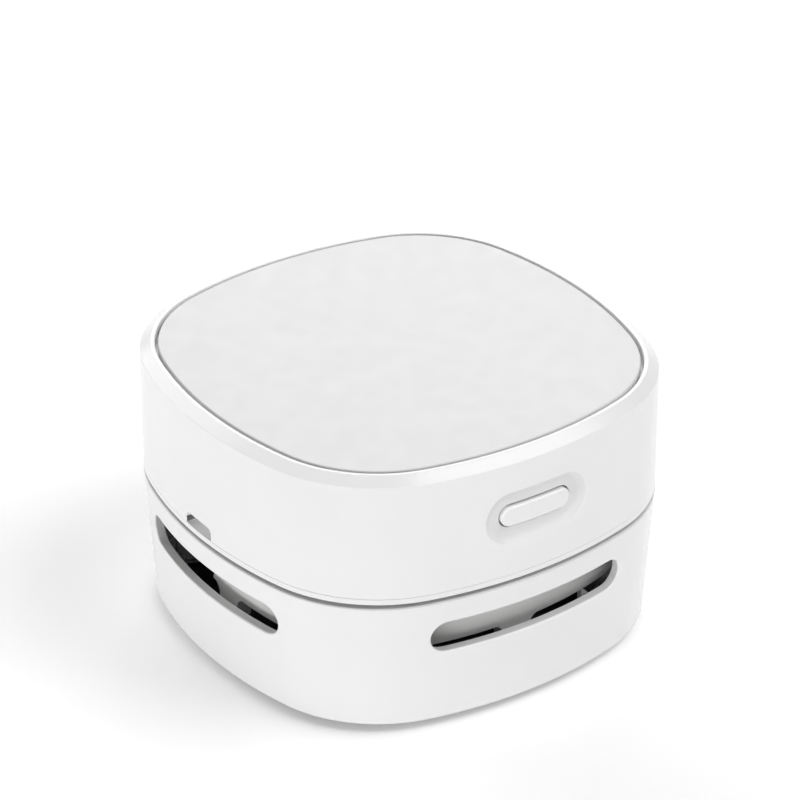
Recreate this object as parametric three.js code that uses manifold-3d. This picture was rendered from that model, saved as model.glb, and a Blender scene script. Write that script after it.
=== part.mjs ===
// Desktop mini vacuum cleaner: a dust box, a filter and an upper body with fan, motor, battery and button.
// Millimetres, +Z up. The button looks along -Y and the charging socket along -X.
// The origin is on the table, under the middle of the case.

import * as THREE from "three";
import { mergeVertices } from "three/addons/utils/BufferGeometryUtils.js";
import Module from "manifold-3d";

const wasm = await Module();
wasm.setup();

// Clearances shared by all pieces
const slip = 0.3; // between pieces that slide or are lifted out
const seat = 0.2; // between pieces that rest on each other
const solder = 0.1; // between pieces that are soldered or glued
const rooted = 0.5; // how far a rib or post reaches into the piece it grows from
const overrun = 1; // how far a cut runs past the face it opens
const edge = 0.25; // broken edges

// Case: every outline is an offset of one rounded square made of eight arcs
const caseWidth = 84;
const sideRadius = 79.3;
const cornerRadius = 26.3;
const wall = 2;
const wallTaper = 1.6; // how much further in the lower shell is at its foot
const shellFloat = 1.5; // lower shell above the table
const seamGap = 0.7; // shadow line between dust box and upper body
const cutReach = 8; // how far a side cut reaches in from the middle of a side

// Exhaust slots
const slotWidth = 40;
const slotHeight = 6.1;
const slotRise = 4.65; // middle of the slots above the underside of the fan housing

// Base plate
const baseRecess = 0.9; // base plate above the foot of the lower shell
const baseThickness = 2;
const baseInset = 4.1;
const ledgeInset = 7; // inner edge of the ledge that the base plate is screwed to
const ledgeThickness = 1.4;
const inletRadius = 8;
const tubeWall = 1.5;
const tubeGap = 0.8; // between inlet tube and filter
const flare = 0.8;

// Dust cup, seal and filter
const cupDepth = 7.6;
const cupWall = 1.8;
const cupStep = 3.4; // fan housing wider than the cup, all round
const cupShelf = 1.7; // width of the shelf that carries the filter
const sealHeight = 1.5;
const filterHeight = 3.6;
const filterRim = 2.4;
const filterGap = 0.6; // filter below the fan housing, and inside the cup
const spokeWidth = 2;
const spokeHeight = 0.6;
const spokeCount = 4;
const filterHub = 4;
const padHeight = 2.2;

// Brushes and feet
const brushWidth = 2.9;
const brushSpan = 70; // degrees
const brushGap = 2; // between brushes and feet
const grooveDepth = 1;
const footInset = 7.4;
const footRadius = 2.4;
const pocketDepth = 0.5;

// Screws and the posts that take them
const screwRadius = 1;
const headHeight = 0.8;
const baseHeadRadius = 2.5;
const housingHeadRadius = 2.2;
const frameHeadRadius = 2.3;
const crossWidth = 0.6;
const crossLength = 2.6;
const crossDepth = 0.45;
const bossRadius = 3;
const housingBossRadius = 2.6;
const lowerBossHeight = 7.4;
const lowerBossGap = 2.3; // between cup and posts
const grip = 5.4; // how far a screw reaches into its post

// Upright ribs inside the lower shell, under the edge of the fan housing
const ribPlace = 15.2; // beside the middle of each side
const ribNeck = 0.6; // width at the top
const ribWidth = 1.9;
const ribThickness = 1;

// Fan and its housing
const exhaustGap = 5.7; // between fan housing and the outside of the case
const skirtWall = 1.5;
const housingFloor = 1.5;
const eyeRadius = 12;
const tabWidth = 5.6;
const tabDrop = 4.5;
const tabDepth = 2.9; // how far the tabs reach in from the outside of the skirt
const tabFlare = 2; // rounding between a tab and the edge of the skirt
const ventAngles = [158, 70, -22]; // degrees
const ventSpan = 29; // degrees
const ventTop = 8.5; // top of the vents above the underside of the housing
const bladeGap = 1.7;
const bladeHeight = 5.2;
const bladeThickness = 1.1;
const bladeCount = 9;
const bladeSweep = 50; // degrees
const bladeStart = 3; // inner ends of the blades inside the eye
const discThickness = 1;
const discGap = 1.1; // fan disc below the middle frame
const hubRadius = 3.5;
const fanClearance = 3.9; // fan disc inside the housing posts
const postClearance = 2.7; // housing posts inside the skirt

// Middle frame
const plateThickness = 1.5;
const rimStep = 1; // rim above the plate
const rimHeight = 1;
const rimWidth = 3.6;
const lipInset = 2.3;
const lipHeight = 2.5;
const spigotInset = 2.6;
const spigotWall = 1.4;
const spigotDrop = 1; // spigot below the plate

// Motor
const shaftRadius = 1;
const bearingRadius = 3;
const gasketHeight = 0.8;
const gasketInner = 6;
const motorRadius = 12.2;
const motorLength = 16;
const motorBore = 5; // how far the shaft hole goes up
const motorEdge = 0.8;
const capInset = 0.7; // end cap inside the can
const capHeight = 2;
const terminalSpread = 10;
const terminalHeight = 3;
const terminalWidth = 2;
const terminalThickness = 0.5;
const clampWall = 1.5;
const clampHeight = 4;
const earThickness = 1.5;
const earWidth = 6;
const postGap = 1.5;
const postRadius = 2.5;
const postHeight = 3.8;

// Battery
const cellRadius = 7.1;
const cellNipple = 2.4;
const cradleGap = 0.5; // cradle inside the back posts
const cradleWall = 1.1;
const cradleFloor = 0.8;
const endWall = 1.5;
const tabThickness = 0.4;
const tabBreadth = 8;
const tabRise = 0.8; // battery tab above the cell
const batteryGap = 1.5; // between cradle and motor clamp

// Boards
const boardThickness = 1.1;
const boardRise = 1; // board above the plate of the middle frame
const boardInset = 4.8;
const boardGap = 2; // board beside the clamp posts
const boardMotorGap = 2.5;
const boardBack = 7.5; // board in front of the battery cradle
const boardRight = 13;
const pegRadius = 1.5;
const socketInset = 2.6;
const socketDepth = 5;
const socketWidth = 7.5;
const socketHeight = 2.55;
const socketWall = 0.3;
const socketBack = 0.8;
const tongueWidth = 3.8;
const tongueThickness = 0.6;
const tongueSetback = 0.5;
const windowGap = 0.15; // window wider than the socket, each side
const windowHeight = 2.4;
const chipLength = 5;
const chipWidth = 4;
const chipHeight = 1.4;
const capacitorRadius = 2.5;
const capacitorHeight = 7;
const ledLength = 1.6;
const ledWidth = 0.8;

// Button and switch
const buttonRise = 11.2; // middle of the button above the lower edge of the upper shell
const recessWidth = 20.8;
const recessHeight = 10;
const recessDepth = 1;
const recessSlope = 1; // how much smaller the recess is at its floor, each side
const capWidth = 14.3;
const capThickness = 3.8;
const capFit = 0.35;
const capFace = 0.35; // cap face inside the outline of the case
const flangeWidth = 18;
const flangeHeight = 7;
const flangeThickness = 1;
const flangeGap = 0.9;
const travel = 1;
const plungerSize = 3;
const plungerLength = 2.8;
const plungerStop = 0.6; // how far the pressed plunger still stands out
const switchSize = 8;
const switchDepth = 3.9;
const switchBoardWidth = 18;
const switchBoardThickness = 1.2;
const switchBoardMargin = 2.6; // board above the switch

// Top panel
const headroom = 1.7;
const panelThickness = 1.5;
const panelInset = 3.3;
const grooveWidth = 0.6;
const chamferHeight = 1.15;
const chamferWidth = 1.7;
const shelfInset = 6;
const shelfThickness = 1.2;

// Wires
const wireRadius = 0.6;
const wireSides = 6;
const wireSteps = 14;
const wireRise = 3;
const wireBow = 4;

// Facets
const sideSteps = 4;
const cornerSteps = 8;
const ringSteps = 48;
const roundSteps = 24;
const smallSteps = 12;
const stadiumSteps = 8;

// Places that follow from the sizes
const caseHalf = caseWidth / 2;
const sideCentre = caseHalf - sideRadius;
const arcGap = sideRadius - cornerRadius;
const cornerCentre = (sideCentre + Math.sqrt(2 * arcGap ** 2 - sideCentre ** 2)) / 2;
const flank = Math.atan2(cornerCentre, cornerCentre - sideCentre);

const shellBottom = shellFloat;
const baseBottom = shellBottom + baseRecess;
const baseTop = baseBottom + baseThickness;
const cupBottom = baseTop + solder;
const cupTop = baseTop + cupDepth;
const sealBottom = cupTop + seat;
const sealTop = sealBottom + sealHeight;
const housingBottom = sealTop + slip;
const eyeTop = housingBottom + housingFloor;
const bladeBottom = eyeTop + bladeGap;
const discBottom = bladeBottom + bladeHeight;
const discTop = discBottom + discThickness;
const plateBottom = discTop + discGap;
const plateTop = plateBottom + plateThickness;
const housingTop = plateBottom - seat;
const rimBottom = plateTop + rimStep;
const rimTop = rimBottom + rimHeight;
const shellTop = rimBottom - seamGap;
const upperBottom = rimTop + seat;
const lipTop = rimTop + lipHeight;
const slotCentre = housingBottom + slotRise;

const gasketBottom = plateTop + solder;
const motorBottom = gasketBottom + gasketHeight + solder;
const motorTop = motorBottom + motorLength;
const capBottom = motorTop + seat;
const capTop = capBottom + capHeight;
const terminalBottom = capTop + solder;
const terminalTop = terminalBottom + terminalHeight;
const panelBottom = terminalTop + headroom;
const panelTop = panelBottom + panelThickness;
const shelfTop = panelBottom - seat;
const shelfBottom = shelfTop - shelfThickness;

const housingOuter = caseHalf - exhaustGap;
const housingInner = housingOuter - skirtWall;
const cupOuter = housingOuter - cupStep;
const cupInner = cupOuter - cupWall;
const filterTop = housingBottom - filterGap;
const filterBottom = filterTop - filterHeight;
const filterOuter = cupInner - filterGap;
const filterInner = filterOuter - filterRim;
const cupShelfTop = filterBottom - slip;
const tubeTop = filterBottom - tubeGap;
const footReach = caseHalf - footInset;
const brushOuter = footReach - footRadius - brushGap;
const brushInner = brushOuter - brushWidth;

const screwHole = screwRadius + slip;
const ledgeBottom = baseTop + seat;
const ledgeTop = ledgeBottom + ledgeThickness;
const lowerBossTop = ledgeBottom + lowerBossHeight;
const lowerBossSpread = (cupOuter + lowerBossGap + bossRadius) / Math.SQRT2;
const housingBossReach = housingInner - postClearance - housingBossRadius;
const housingBossSpread = housingBossReach / Math.SQRT2;
const fanRadius = housingBossReach - housingBossRadius - fanClearance;
const frameBossSpread = (housingOuter + slip + frameHeadRadius) / Math.SQRT2;
const upperBossBottom = lipTop + slip;

const clampOuter = motorRadius + slip + clampWall;
const postReach = clampOuter + postGap + postRadius;
const postTop = plateTop + postHeight;
const clampBottom = postTop + seat;

const cradleHalf = cellRadius + slip + cradleWall;
const cradleLength = 2 * (frameBossSpread - bossRadius - cradleGap);
const cellLength = cradleLength - 2 * (endWall + slip + tabThickness + slip);
const cellY = clampOuter + batteryGap + cradleHalf;
const cradleBottom = plateTop + seat;
const cellZ = cradleBottom + cradleFloor + slip + cellRadius;
const batteryTabX = cellLength / 2 + slip + tabThickness / 2;

const boardBottom = plateTop + boardRise;
const boardTop = boardBottom + boardThickness;
const partBottom = boardTop + solder;
const boardLegX = postReach + postRadius + boardGap;
const boardLegY = clampOuter + boardMotorGap;
const boardBackY = cellY - cradleHalf - boardBack;
const boardEdge = caseHalf - boardInset;
const socketFace = caseHalf - socketInset;

const buttonZ = upperBottom + buttonRise;
const flangeFront = caseHalf - wall - flangeGap;
const flangeBack = flangeFront - flangeThickness;
const plungerFront = flangeBack - slip;
const plungerBack = plungerFront - plungerLength;
const switchFront = plungerFront - travel - plungerStop;
const switchBack = switchFront - switchDepth;
const switchBoardFront = switchBack - solder;

const degrees = Math.PI / 180;
const quarterTurn = 90; // degrees
const sideNames = ["front", "right", "back", "left"];
const cornerNames = ["front_left", "front_right", "back_right", "back_left"];
const cornerSigns = [[-1, -1], [1, -1], [1, 1], [-1, 1]];

// Materials
function finish(color, roughness, metalness = 0) {
  return new THREE.MeshStandardMaterial({ color, roughness, metalness });
}
const whitePlastic = finish("#f2f2f1", 0.25);
const greyPlastic = finish("#e4e4e4", 0.5);
const innerPlastic = finish("#e9e9e8", 0.45);
const blackPlastic = finish("#1c1c1e", 0.5);
const rubber = finish("#232325", 0.85);
const nylon = finish("#1a1a1c", 0.6);
const filterFabric = finish("#d9d9d4", 0.95);
const steel = finish("#b8babd", 0.3, 1);
const nickel = finish("#c9c6bd", 0.3, 1);
const bronze = finish("#a88550", 0.4, 1);
const wrap = finish("#2f6f9a", 0.4);
const laminate = finish("#1f5b3a", 0.45);
const epoxy = finish("#151517", 0.5);
const redWire = finish("#b3261e", 0.5);
const blackWire = finish("#17171a", 0.5);

// A closed geometry as a solid with its faces pointing out
function solidOf(geometry) {
  const bare = new THREE.BufferGeometry();
  bare.setAttribute("position", geometry.getAttribute("position"));
  bare.setIndex(geometry.index);
  const merged = mergeVertices(bare);
  const corners = [];
  for (let i = 0; i < merged.index.count; i += 3) {
    const [a, b, c] = [0, 1, 2].map((k) => merged.index.getX(i + k));
    if (a !== b && b !== c && c !== a) corners.push([a, b, c]);
  }
  const build = (faces) => new wasm.Manifold(new wasm.Mesh({
    numProp: 3,
    vertProperties: merged.attributes.position.array,
    triVerts: new Uint32Array(faces.flat()),
  }));
  const solid = build(corners);
  return solid.volume() < 0 ? build(corners.map(([a, b, c]) => [a, c, b])) : solid;
}

function geometryOf(solid) {
  const { vertProperties, triVerts } = solid.getMesh();
  const geometry = new THREE.BufferGeometry();
  geometry.setAttribute("position", new THREE.BufferAttribute(vertProperties, 3));
  geometry.setIndex(new THREE.BufferAttribute(triVerts, 1));
  return geometry;
}

function join(...shapes) {
  return geometryOf(shapes.map(solidOf).reduce((all, next) => all.add(next)));
}

function cut(shape, ...tools) {
  return geometryOf(tools.map(solidOf).reduce((left, tool) => left.subtract(tool), solidOf(shape)));
}

function common(a, b) {
  return geometryOf(solidOf(a).intersect(solidOf(b)));
}

// Skin over rings with equal counts of points: endless, or closed with a flat end at both ends
function loft(rings, endless = false) {
  const n = rings[0].length;
  const faces = [];
  const steps = endless ? rings.length : rings.length - 1;
  for (let r = 0; r < steps; r++) {
    const next = (r + 1) % rings.length;
    for (let i = 0; i < n; i++) {
      const j = (i + 1) % n;
      faces.push(r * n + i, r * n + j, next * n + j, r * n + i, next * n + j, next * n + i);
    }
  }
  const last = (rings.length - 1) * n;
  for (let i = 1; i < n - 1 && !endless; i++) {
    faces.push(0, i + 1, i, last, last + i, last + i + 1);
  }
  const geometry = new THREE.BufferGeometry().setFromPoints(rings.flat());
  geometry.setIndex(faces);
  return geometry;
}

// The case outline, moved in by an inset, at a height
function outline(inset, z) {
  const points = [];
  const arc = (turn, centre, radius, from, to, steps) => {
    for (let i = 0; i < steps; i++) {
      const angle = turn + from + ((to - from) * i) / steps;
      points.push(new THREE.Vector3(
        centre.x + (radius - inset) * Math.cos(angle),
        centre.y + (radius - inset) * Math.sin(angle),
        z,
      ));
    }
  };
  for (let quarter = 0; quarter < 4; quarter++) {
    const turn = (quarter * Math.PI) / 2;
    const origin = new THREE.Vector2();
    const side = new THREE.Vector2(sideCentre, 0).rotateAround(origin, turn);
    const corner = new THREE.Vector2(cornerCentre, cornerCentre).rotateAround(origin, turn);
    arc(turn, side, sideRadius, -flank, flank, sideSteps);
    arc(turn, corner, cornerRadius, flank, Math.PI / 2 - flank, cornerSteps);
  }
  return points;
}

// Solid with the case outline, from [inset, height] pairs listed upwards
function stack(levels) {
  return loft(levels.map(([inset, z]) => outline(inset, z)));
}

// Ring round the case, from a closed section of [inset, height] pairs
function wallRing(section) {
  return loft(section.map(([inset, z]) => outline(inset, z)), true);
}

// Solid of revolution about Z, from a closed section of [radius, height] pairs
function turned(section, steps = ringSteps) {
  const points = [...section, section[0]].map(([r, z]) => new THREE.Vector2(r, z));
  return new THREE.LatheGeometry(points, steps).rotateX(Math.PI / 2);
}

function rod(radius, bottom, top, x = 0, y = 0, steps = smallSteps) {
  return new THREE.CylinderGeometry(radius, radius, top - bottom, steps)
    .rotateX(Math.PI / 2)
    .translate(x, y, (bottom + top) / 2);
}

function block(x0, x1, y0, y1, z0, z1) {
  return new THREE.BoxGeometry(x1 - x0, y1 - y0, z1 - z0)
    .translate((x0 + x1) / 2, (y0 + y1) / 2, (z0 + z1) / 2);
}

function slab(points, bottom, top) {
  const shape = new THREE.Shape(points.map(([x, y]) => new THREE.Vector2(x, y)));
  return new THREE.ExtrudeGeometry(shape, { depth: top - bottom, bevelEnabled: false })
    .translate(0, 0, bottom);
}

// Part of a flat ring, centred on an angle in degrees
function arcBand(inner, outer, middle, span, bottom, top, steps = stadiumSteps) {
  const at = (r, i) => {
    const angle = (middle + span * (i / steps - 1 / 2)) * degrees;
    return [r * Math.cos(angle), r * Math.sin(angle)];
  };
  const count = [...Array(steps + 1).keys()];
  return slab([...count.map((i) => at(outer, i)), ...count.reverse().map((i) => at(inner, i))], bottom, top);
}

// Outline with round ends in the plane of the front, at a distance in front of the middle
function stadiumRing(width, height, distance, z) {
  const radius = height / 2;
  const points = [];
  for (const end of [1, -1]) {
    for (let i = 0; i <= stadiumSteps; i++) {
      const angle = (i / stadiumSteps - 1 / 2) * Math.PI;
      points.push(new THREE.Vector3(
        end * (width / 2 - radius + radius * Math.cos(angle)),
        -distance,
        z + end * radius * Math.sin(angle),
      ));
    }
  }
  return points;
}

function stadium(width, height, from, to, z) {
  return loft([stadiumRing(width, height, from, z), stadiumRing(width, height, to, z)]);
}

const bodies = {};
for (const name of ["dust_box", "filter", "upper", "button", "plunger", "fan"]) {
  bodies[name] = new THREE.Group();
}
const vacuum = new THREE.Group();
vacuum.add(...Object.values(bodies));

function piece(body, name, geometry, material, x = 0, y = 0, z = 0) {
  const flat = geometryOf(solidOf(geometry)).toNonIndexed();
  flat.computeVertexNormals();
  const mesh = new THREE.Mesh(flat, material);
  mesh.name = name;
  mesh.position.set(x, y, z);
  bodies[body].add(mesh);
  return mesh;
}

// Screw with its head at the bottom, resting under z = 0, and a cross cut in the head
function screw(headRadius, length) {
  const solid = turned([
    [0, -headHeight],
    [headRadius - edge, -headHeight],
    [headRadius, edge - headHeight],
    [headRadius, 0],
    [screwRadius, 0],
    [screwRadius, length - screwRadius / 2],
    [screwRadius / 2, length],
    [0, length],
  ], smallSteps);
  const long = crossLength / 2;
  const short = crossWidth / 2;
  const floor = crossDepth - headHeight;
  return cut(
    solid,
    block(-long, long, -short, short, -headHeight - overrun, floor),
    block(-short, short, -long, long, -headHeight - overrun, floor),
  );
}

function atCorners(spread, make) {
  return cornerSigns.map(([x, y]) => make(x * spread, y * spread));
}

// Inset of the tapered outside of the lower shell at a height
function taperAt(z) {
  return (wallTaper * (shellTop - z)) / (shellTop - shellBottom);
}

function addDustBox() {
  const ring = wallRing([
    [taperAt(shellBottom) + 2 * edge, shellBottom],
    [taperAt(shellBottom), shellBottom + 2 * edge],
    [taperAt(shellTop - edge), shellTop - edge],
    [edge, shellTop],
    [wall, shellTop],
    [taperAt(ledgeTop) + wall, ledgeTop],
    [ledgeInset, ledgeTop],
    [ledgeInset, ledgeBottom],
    [baseInset - slip, ledgeBottom],
    [baseInset - slip, shellBottom],
  ]);
  const slot = stadium(slotWidth, slotHeight, caseHalf - cutReach, caseHalf + overrun, slotCentre);
  const slots = sideNames.map((_, i) => slot.clone().rotateZ((i * Math.PI) / 2));
  const posts = atCorners(lowerBossSpread, (x, y) => rod(bossRadius, ledgeBottom, lowerBossTop, x, y));
  const holes = atCorners(lowerBossSpread, (x, y) =>
    rod(screwHole, ledgeBottom - overrun, ledgeBottom + grip + slip, x, y));
  const ribFoot = ledgeTop - rooted;
  const ribTop = housingBottom - slip;
  const ribInset = exhaustGap + ribThickness;
  const ribBand = wallRing([
    [exhaustGap, ribFoot], [exhaustGap, ribTop], [ribInset, ribTop], [ribInset, ribFoot],
  ]);
  const ribFace = slab([
    [ribPlace, ribFoot],
    [ribPlace + ribWidth, ribFoot],
    [ribPlace + ribWidth, ribTop - ribWidth + ribNeck],
    [ribPlace + ribNeck, ribTop],
    [ribPlace, ribTop],
  ], cupInner, caseHalf).rotateX(Math.PI / 2);
  const rib = common(ribBand, ribFace);
  const ribs = sideNames.map((_, i) => rib.clone().rotateZ((i * Math.PI) / 2));
  piece("dust_box", "lower_shell", cut(join(ring, ...posts, ...ribs), ...slots, ...holes), whitePlastic);

  const plate = stack([
    [baseInset + edge, baseBottom], [baseInset, baseBottom + edge], [baseInset, baseTop],
  ]);
  const tube = rod(inletRadius + tubeWall, baseTop - rooted, tubeTop, 0, 0, roundSteps);
  const bore = turned([
    [0, baseBottom - overrun],
    [inletRadius + flare + overrun, baseBottom - overrun],
    [inletRadius, baseBottom + flare],
    [inletRadius, tubeTop + overrun],
    [0, tubeTop + overrun],
  ], roundSteps);
  const headSeat = baseBottom + headHeight + edge;
  const grooveSpan = brushSpan + (2 * slip) / brushInner / degrees;
  const grooves = sideNames.map((_, i) => arcBand(
    brushInner - slip, brushOuter + slip, i * quarterTurn, grooveSpan,
    baseBottom - overrun, baseBottom + grooveDepth,
  ));
  const pockets = sideNames.map((_, i) =>
    rod(footRadius + seat, baseBottom - overrun, baseBottom + pocketDepth, 0, -footReach, roundSteps)
      .rotateZ((i * Math.PI) / 2));
  const sinks = atCorners(lowerBossSpread, (x, y) => join(
    rod(screwHole, baseBottom - overrun, baseTop + overrun, x, y),
    rod(baseHeadRadius + slip, baseBottom - overrun, headSeat, x, y),
  ));
  const base = cut(join(plate, tube), bore, ...grooves, ...pockets, ...sinks);
  piece("dust_box", "base_plate", base, innerPlastic);

  const cup = turned([
    [cupInner - cupShelf, cupBottom],
    [cupOuter, cupBottom],
    [cupOuter, cupTop],
    [cupInner, cupTop],
    [cupInner, cupShelfTop],
    [cupInner - cupShelf, cupShelfTop],
  ]);
  piece("dust_box", "dust_cup", cup, blackPlastic);
  const seal = turned([
    [cupInner, sealBottom], [cupOuter, sealBottom], [cupOuter, sealTop], [cupInner, sealTop],
  ]);
  piece("dust_box", "cup_seal", seal, rubber);

  const brushTop = baseBottom + grooveDepth - slip;
  const footTop = baseBottom + pocketDepth - seat;
  sideNames.forEach((name, i) => {
    const brush = arcBand(brushInner, brushOuter, -quarterTurn, brushSpan, 0, brushTop);
    piece("dust_box", "brush_" + name, brush, nylon).rotation.z = (i * Math.PI) / 2;
    const foot = turned([
      [0, 0], [footRadius - edge, 0], [footRadius, edge], [footRadius, footTop], [0, footTop],
    ], roundSteps).translate(0, -footReach, 0);
    piece("dust_box", "foot_" + name, foot, rubber).rotation.z = (i * Math.PI) / 2;
  });
  const baseScrew = screw(baseHeadRadius, ledgeBottom + grip - headSeat);
  cornerSigns.forEach(([x, y], i) => piece(
    "dust_box", "base_screw_" + cornerNames[i], baseScrew, steel,
    x * lowerBossSpread, y * lowerBossSpread, headSeat - solder,
  ));
}

function addFilter() {
  const rim = turned([
    [filterInner, filterBottom], [filterOuter, filterBottom],
    [filterOuter, filterTop], [filterInner, filterTop],
  ]);
  const hub = rod(filterHub, filterBottom, filterBottom + spokeHeight, 0, 0, roundSteps);
  const half = spokeWidth / 2;
  const spokes = [...Array(spokeCount).keys()].map((i) =>
    block(0, filterInner + rooted, -half, half, filterBottom, filterBottom + spokeHeight)
      .rotateZ((2 * Math.PI * i) / spokeCount));
  piece("filter", "filter_frame", join(rim, hub, ...spokes), blackPlastic);
  const padBottom = filterBottom + spokeHeight + seat;
  const pad = rod(filterInner - slip, padBottom, padBottom + padHeight, 0, 0, ringSteps);
  piece("filter", "filter_pad", pad, filterFabric);
}

function addUpperCase() {
  const ring = wallRing([
    [edge, upperBottom],
    [0, upperBottom + edge],
    [0, panelTop - chamferHeight - 2 * edge],
    [edge, panelTop - chamferHeight],
    [edge + chamferWidth, panelTop],
    [panelInset - grooveWidth, panelTop],
    [panelInset - grooveWidth, shelfTop],
    [shelfInset, shelfTop],
    [shelfInset, shelfBottom],
    [wall, shelfBottom],
    [wall, upperBottom],
  ]);
  const posts = atCorners(frameBossSpread, (x, y) => rod(bossRadius, upperBossBottom, shelfTop, x, y));
  const holes = atCorners(frameBossSpread, (x, y) =>
    rod(screwHole, upperBossBottom - overrun, upperBossBottom + grip + slip, x, y));
  const floor = caseHalf - recessDepth;
  const mouth = caseHalf + recessDepth;
  const slope = (distance) => (2 * recessSlope * (distance - caseHalf)) / recessDepth;
  const recess = cut(
    loft([floor - recessDepth, mouth].map((d) =>
      stadiumRing(recessWidth + slope(d), recessHeight + slope(d), d, buttonZ))),
    stack([[recessDepth, buttonZ - recessHeight], [recessDepth, buttonZ + recessHeight]]),
  );
  const opening = stadium(
    capWidth + 2 * capFit, capThickness + 2 * capFit, caseHalf - cutReach, caseHalf + overrun, buttonZ,
  );
  const windowHalf = socketWidth / 2 + windowGap;
  const window = block(
    -caseHalf - overrun, socketInset - caseHalf, -windowHalf, windowHalf,
    upperBottom - overrun, upperBottom + windowHeight,
  );
  piece("upper", "upper_shell", cut(join(ring, ...posts), ...holes, recess, opening, window), whitePlastic);

  const panel = stack([
    [panelInset, panelBottom], [panelInset, panelTop - edge], [panelInset + edge, panelTop],
  ]);
  piece("upper", "top_panel", panel, greyPlastic);
}

function addMiddleFrame() {
  const rim = wallRing([
    [edge, rimBottom],
    [0, rimBottom + edge],
    [0, rimTop - edge],
    [edge, rimTop],
    [lipInset, rimTop],
    [lipInset, lipTop],
    [rimWidth, lipTop],
    [rimWidth, rimTop],
    [spigotInset + spigotWall, rimTop],
    [spigotInset + spigotWall, plateBottom - spigotDrop],
    [spigotInset, plateBottom - spigotDrop],
    [spigotInset, rimBottom],
  ]);
  const plateInset = spigotInset + spigotWall - rooted;
  const plate = stack([[plateInset, plateBottom], [plateInset, plateTop]]);
  const standoffs = atCorners(frameBossSpread, (x, y) => rod(bossRadius, plateTop - rooted, lipTop, x, y));
  const housingPosts = atCorners(housingBossSpread, (x, y) =>
    rod(housingBossRadius, eyeTop + slip, plateBottom + rooted, x, y));
  const clampPosts = [-1, 1].map((sign) => rod(postRadius, plateTop - rooted, postTop, sign * postReach, 0));
  const pegs = boardPegs().map(([x, y]) => rod(pegRadius, plateTop - rooted, boardBottom - seat, x, y));
  const frameHoles = atCorners(frameBossSpread, (x, y) => join(
    rod(screwHole, plateBottom - overrun, lipTop + overrun, x, y),
    rod(frameHeadRadius + slip, plateBottom - spigotDrop - overrun, plateBottom, x, y),
  ));
  const housingHoles = atCorners(housingBossSpread, (x, y) =>
    rod(screwHole, eyeTop - overrun, eyeTop + grip + slip, x, y));
  const clampHoles = [-1, 1].map((sign) =>
    rod(screwHole, postTop - grip / 2 - slip, postTop + overrun, sign * postReach, 0));
  const shaftHole = rod(bearingRadius + slip, plateBottom - overrun, plateTop + overrun, 0, 0, roundSteps);
  const windowHalf = socketWidth / 2 + windowGap + slip;
  const window = block(
    -caseHalf - overrun, -caseHalf + spigotInset + spigotWall + overrun, -windowHalf, windowHalf,
    rimTop, lipTop + overrun,
  );
  const body = join(rim, plate, ...standoffs, ...housingPosts, ...clampPosts, ...pegs);
  const holes = [...frameHoles, ...housingHoles, ...clampHoles, shaftHole];
  piece("upper", "mid_frame", cut(body, ...holes, window), whitePlastic);

  const frameScrew = screw(frameHeadRadius, upperBossBottom + grip - plateBottom);
  cornerSigns.forEach(([x, y], i) => piece(
    "upper", "frame_screw_" + cornerNames[i], frameScrew, steel,
    x * frameBossSpread, y * frameBossSpread, plateBottom - solder,
  ));
}

// Pegs under the board: shares of the reach of its two legs
const pegShares = [[0.8, -0.35], [0.8, 0.2], [0.55, 0.6], [-0.1, 0.75]];
function boardPegs() {
  return pegShares.map(([left, front]) => [-left * boardEdge, -front * boardEdge]);
}

// Solid with the case outline at an inset, scooped out round the frame screws
function scooped(inset, clearance, bottom, top) {
  const scoops = atCorners(frameBossSpread, (x, y) =>
    rod(frameHeadRadius + clearance, bottom - overrun, top + overrun, x, y, roundSteps));
  return cut(stack([[inset, bottom], [inset, top]]), ...scoops);
}

function addFanHousing() {
  const drum = cut(
    scooped(exhaustGap, slip, housingBottom, housingTop),
    scooped(exhaustGap + skirtWall, slip + skirtWall, eyeTop, housingTop + overrun),
    rod(eyeRadius, housingBottom - overrun, housingTop, 0, 0, ringSteps),
  );
  const half = tabWidth / 2;
  const tabBottom = housingBottom - tabDrop;
  const flare = [...Array(stadiumSteps + 1).keys()].map((i) => {
    const angle = (i * Math.PI) / 2 / stadiumSteps;
    return [
      half + tabFlare * (1 - Math.cos(angle)),
      housingBottom - tabFlare * (1 - Math.sin(angle)),
    ];
  });
  const tabSide = [[half, tabBottom], ...flare, [half + tabFlare, eyeTop]];
  const tabFace = [...tabSide, ...tabSide.map(([x, z]) => [-x, z]).reverse()];
  const tabBand = stack([[exhaustGap, tabBottom], [exhaustGap, eyeTop]]);
  const tab = common(tabBand, slab(tabFace, housingOuter - tabDepth, caseHalf).rotateX(Math.PI / 2));
  const tabs = sideNames.map((_, i) => tab.clone().rotateZ((i * Math.PI) / 2));
  const vents = ventAngles.map((angle) => arcBand(
    housingInner - slip, caseHalf, angle, ventSpan, housingBottom - overrun, housingBottom + ventTop,
  ));
  const sinks = atCorners(housingBossSpread, (x, y) => join(
    rod(screwHole, housingBottom - overrun, eyeTop + overrun, x, y),
    rod(housingHeadRadius + slip, housingBottom - overrun, housingBottom + headHeight + solder, x, y),
  ));
  piece("upper", "fan_housing", cut(join(drum, ...tabs), ...vents, ...sinks), innerPlastic);

  const headSeat = housingBottom + headHeight + solder;
  const housingScrew = screw(housingHeadRadius, eyeTop + grip - headSeat);
  cornerSigns.forEach(([x, y], i) => piece(
    "upper", "housing_screw_" + cornerNames[i], housingScrew, steel,
    x * housingBossSpread, y * housingBossSpread, headSeat - solder / 2,
  ));
}

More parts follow.
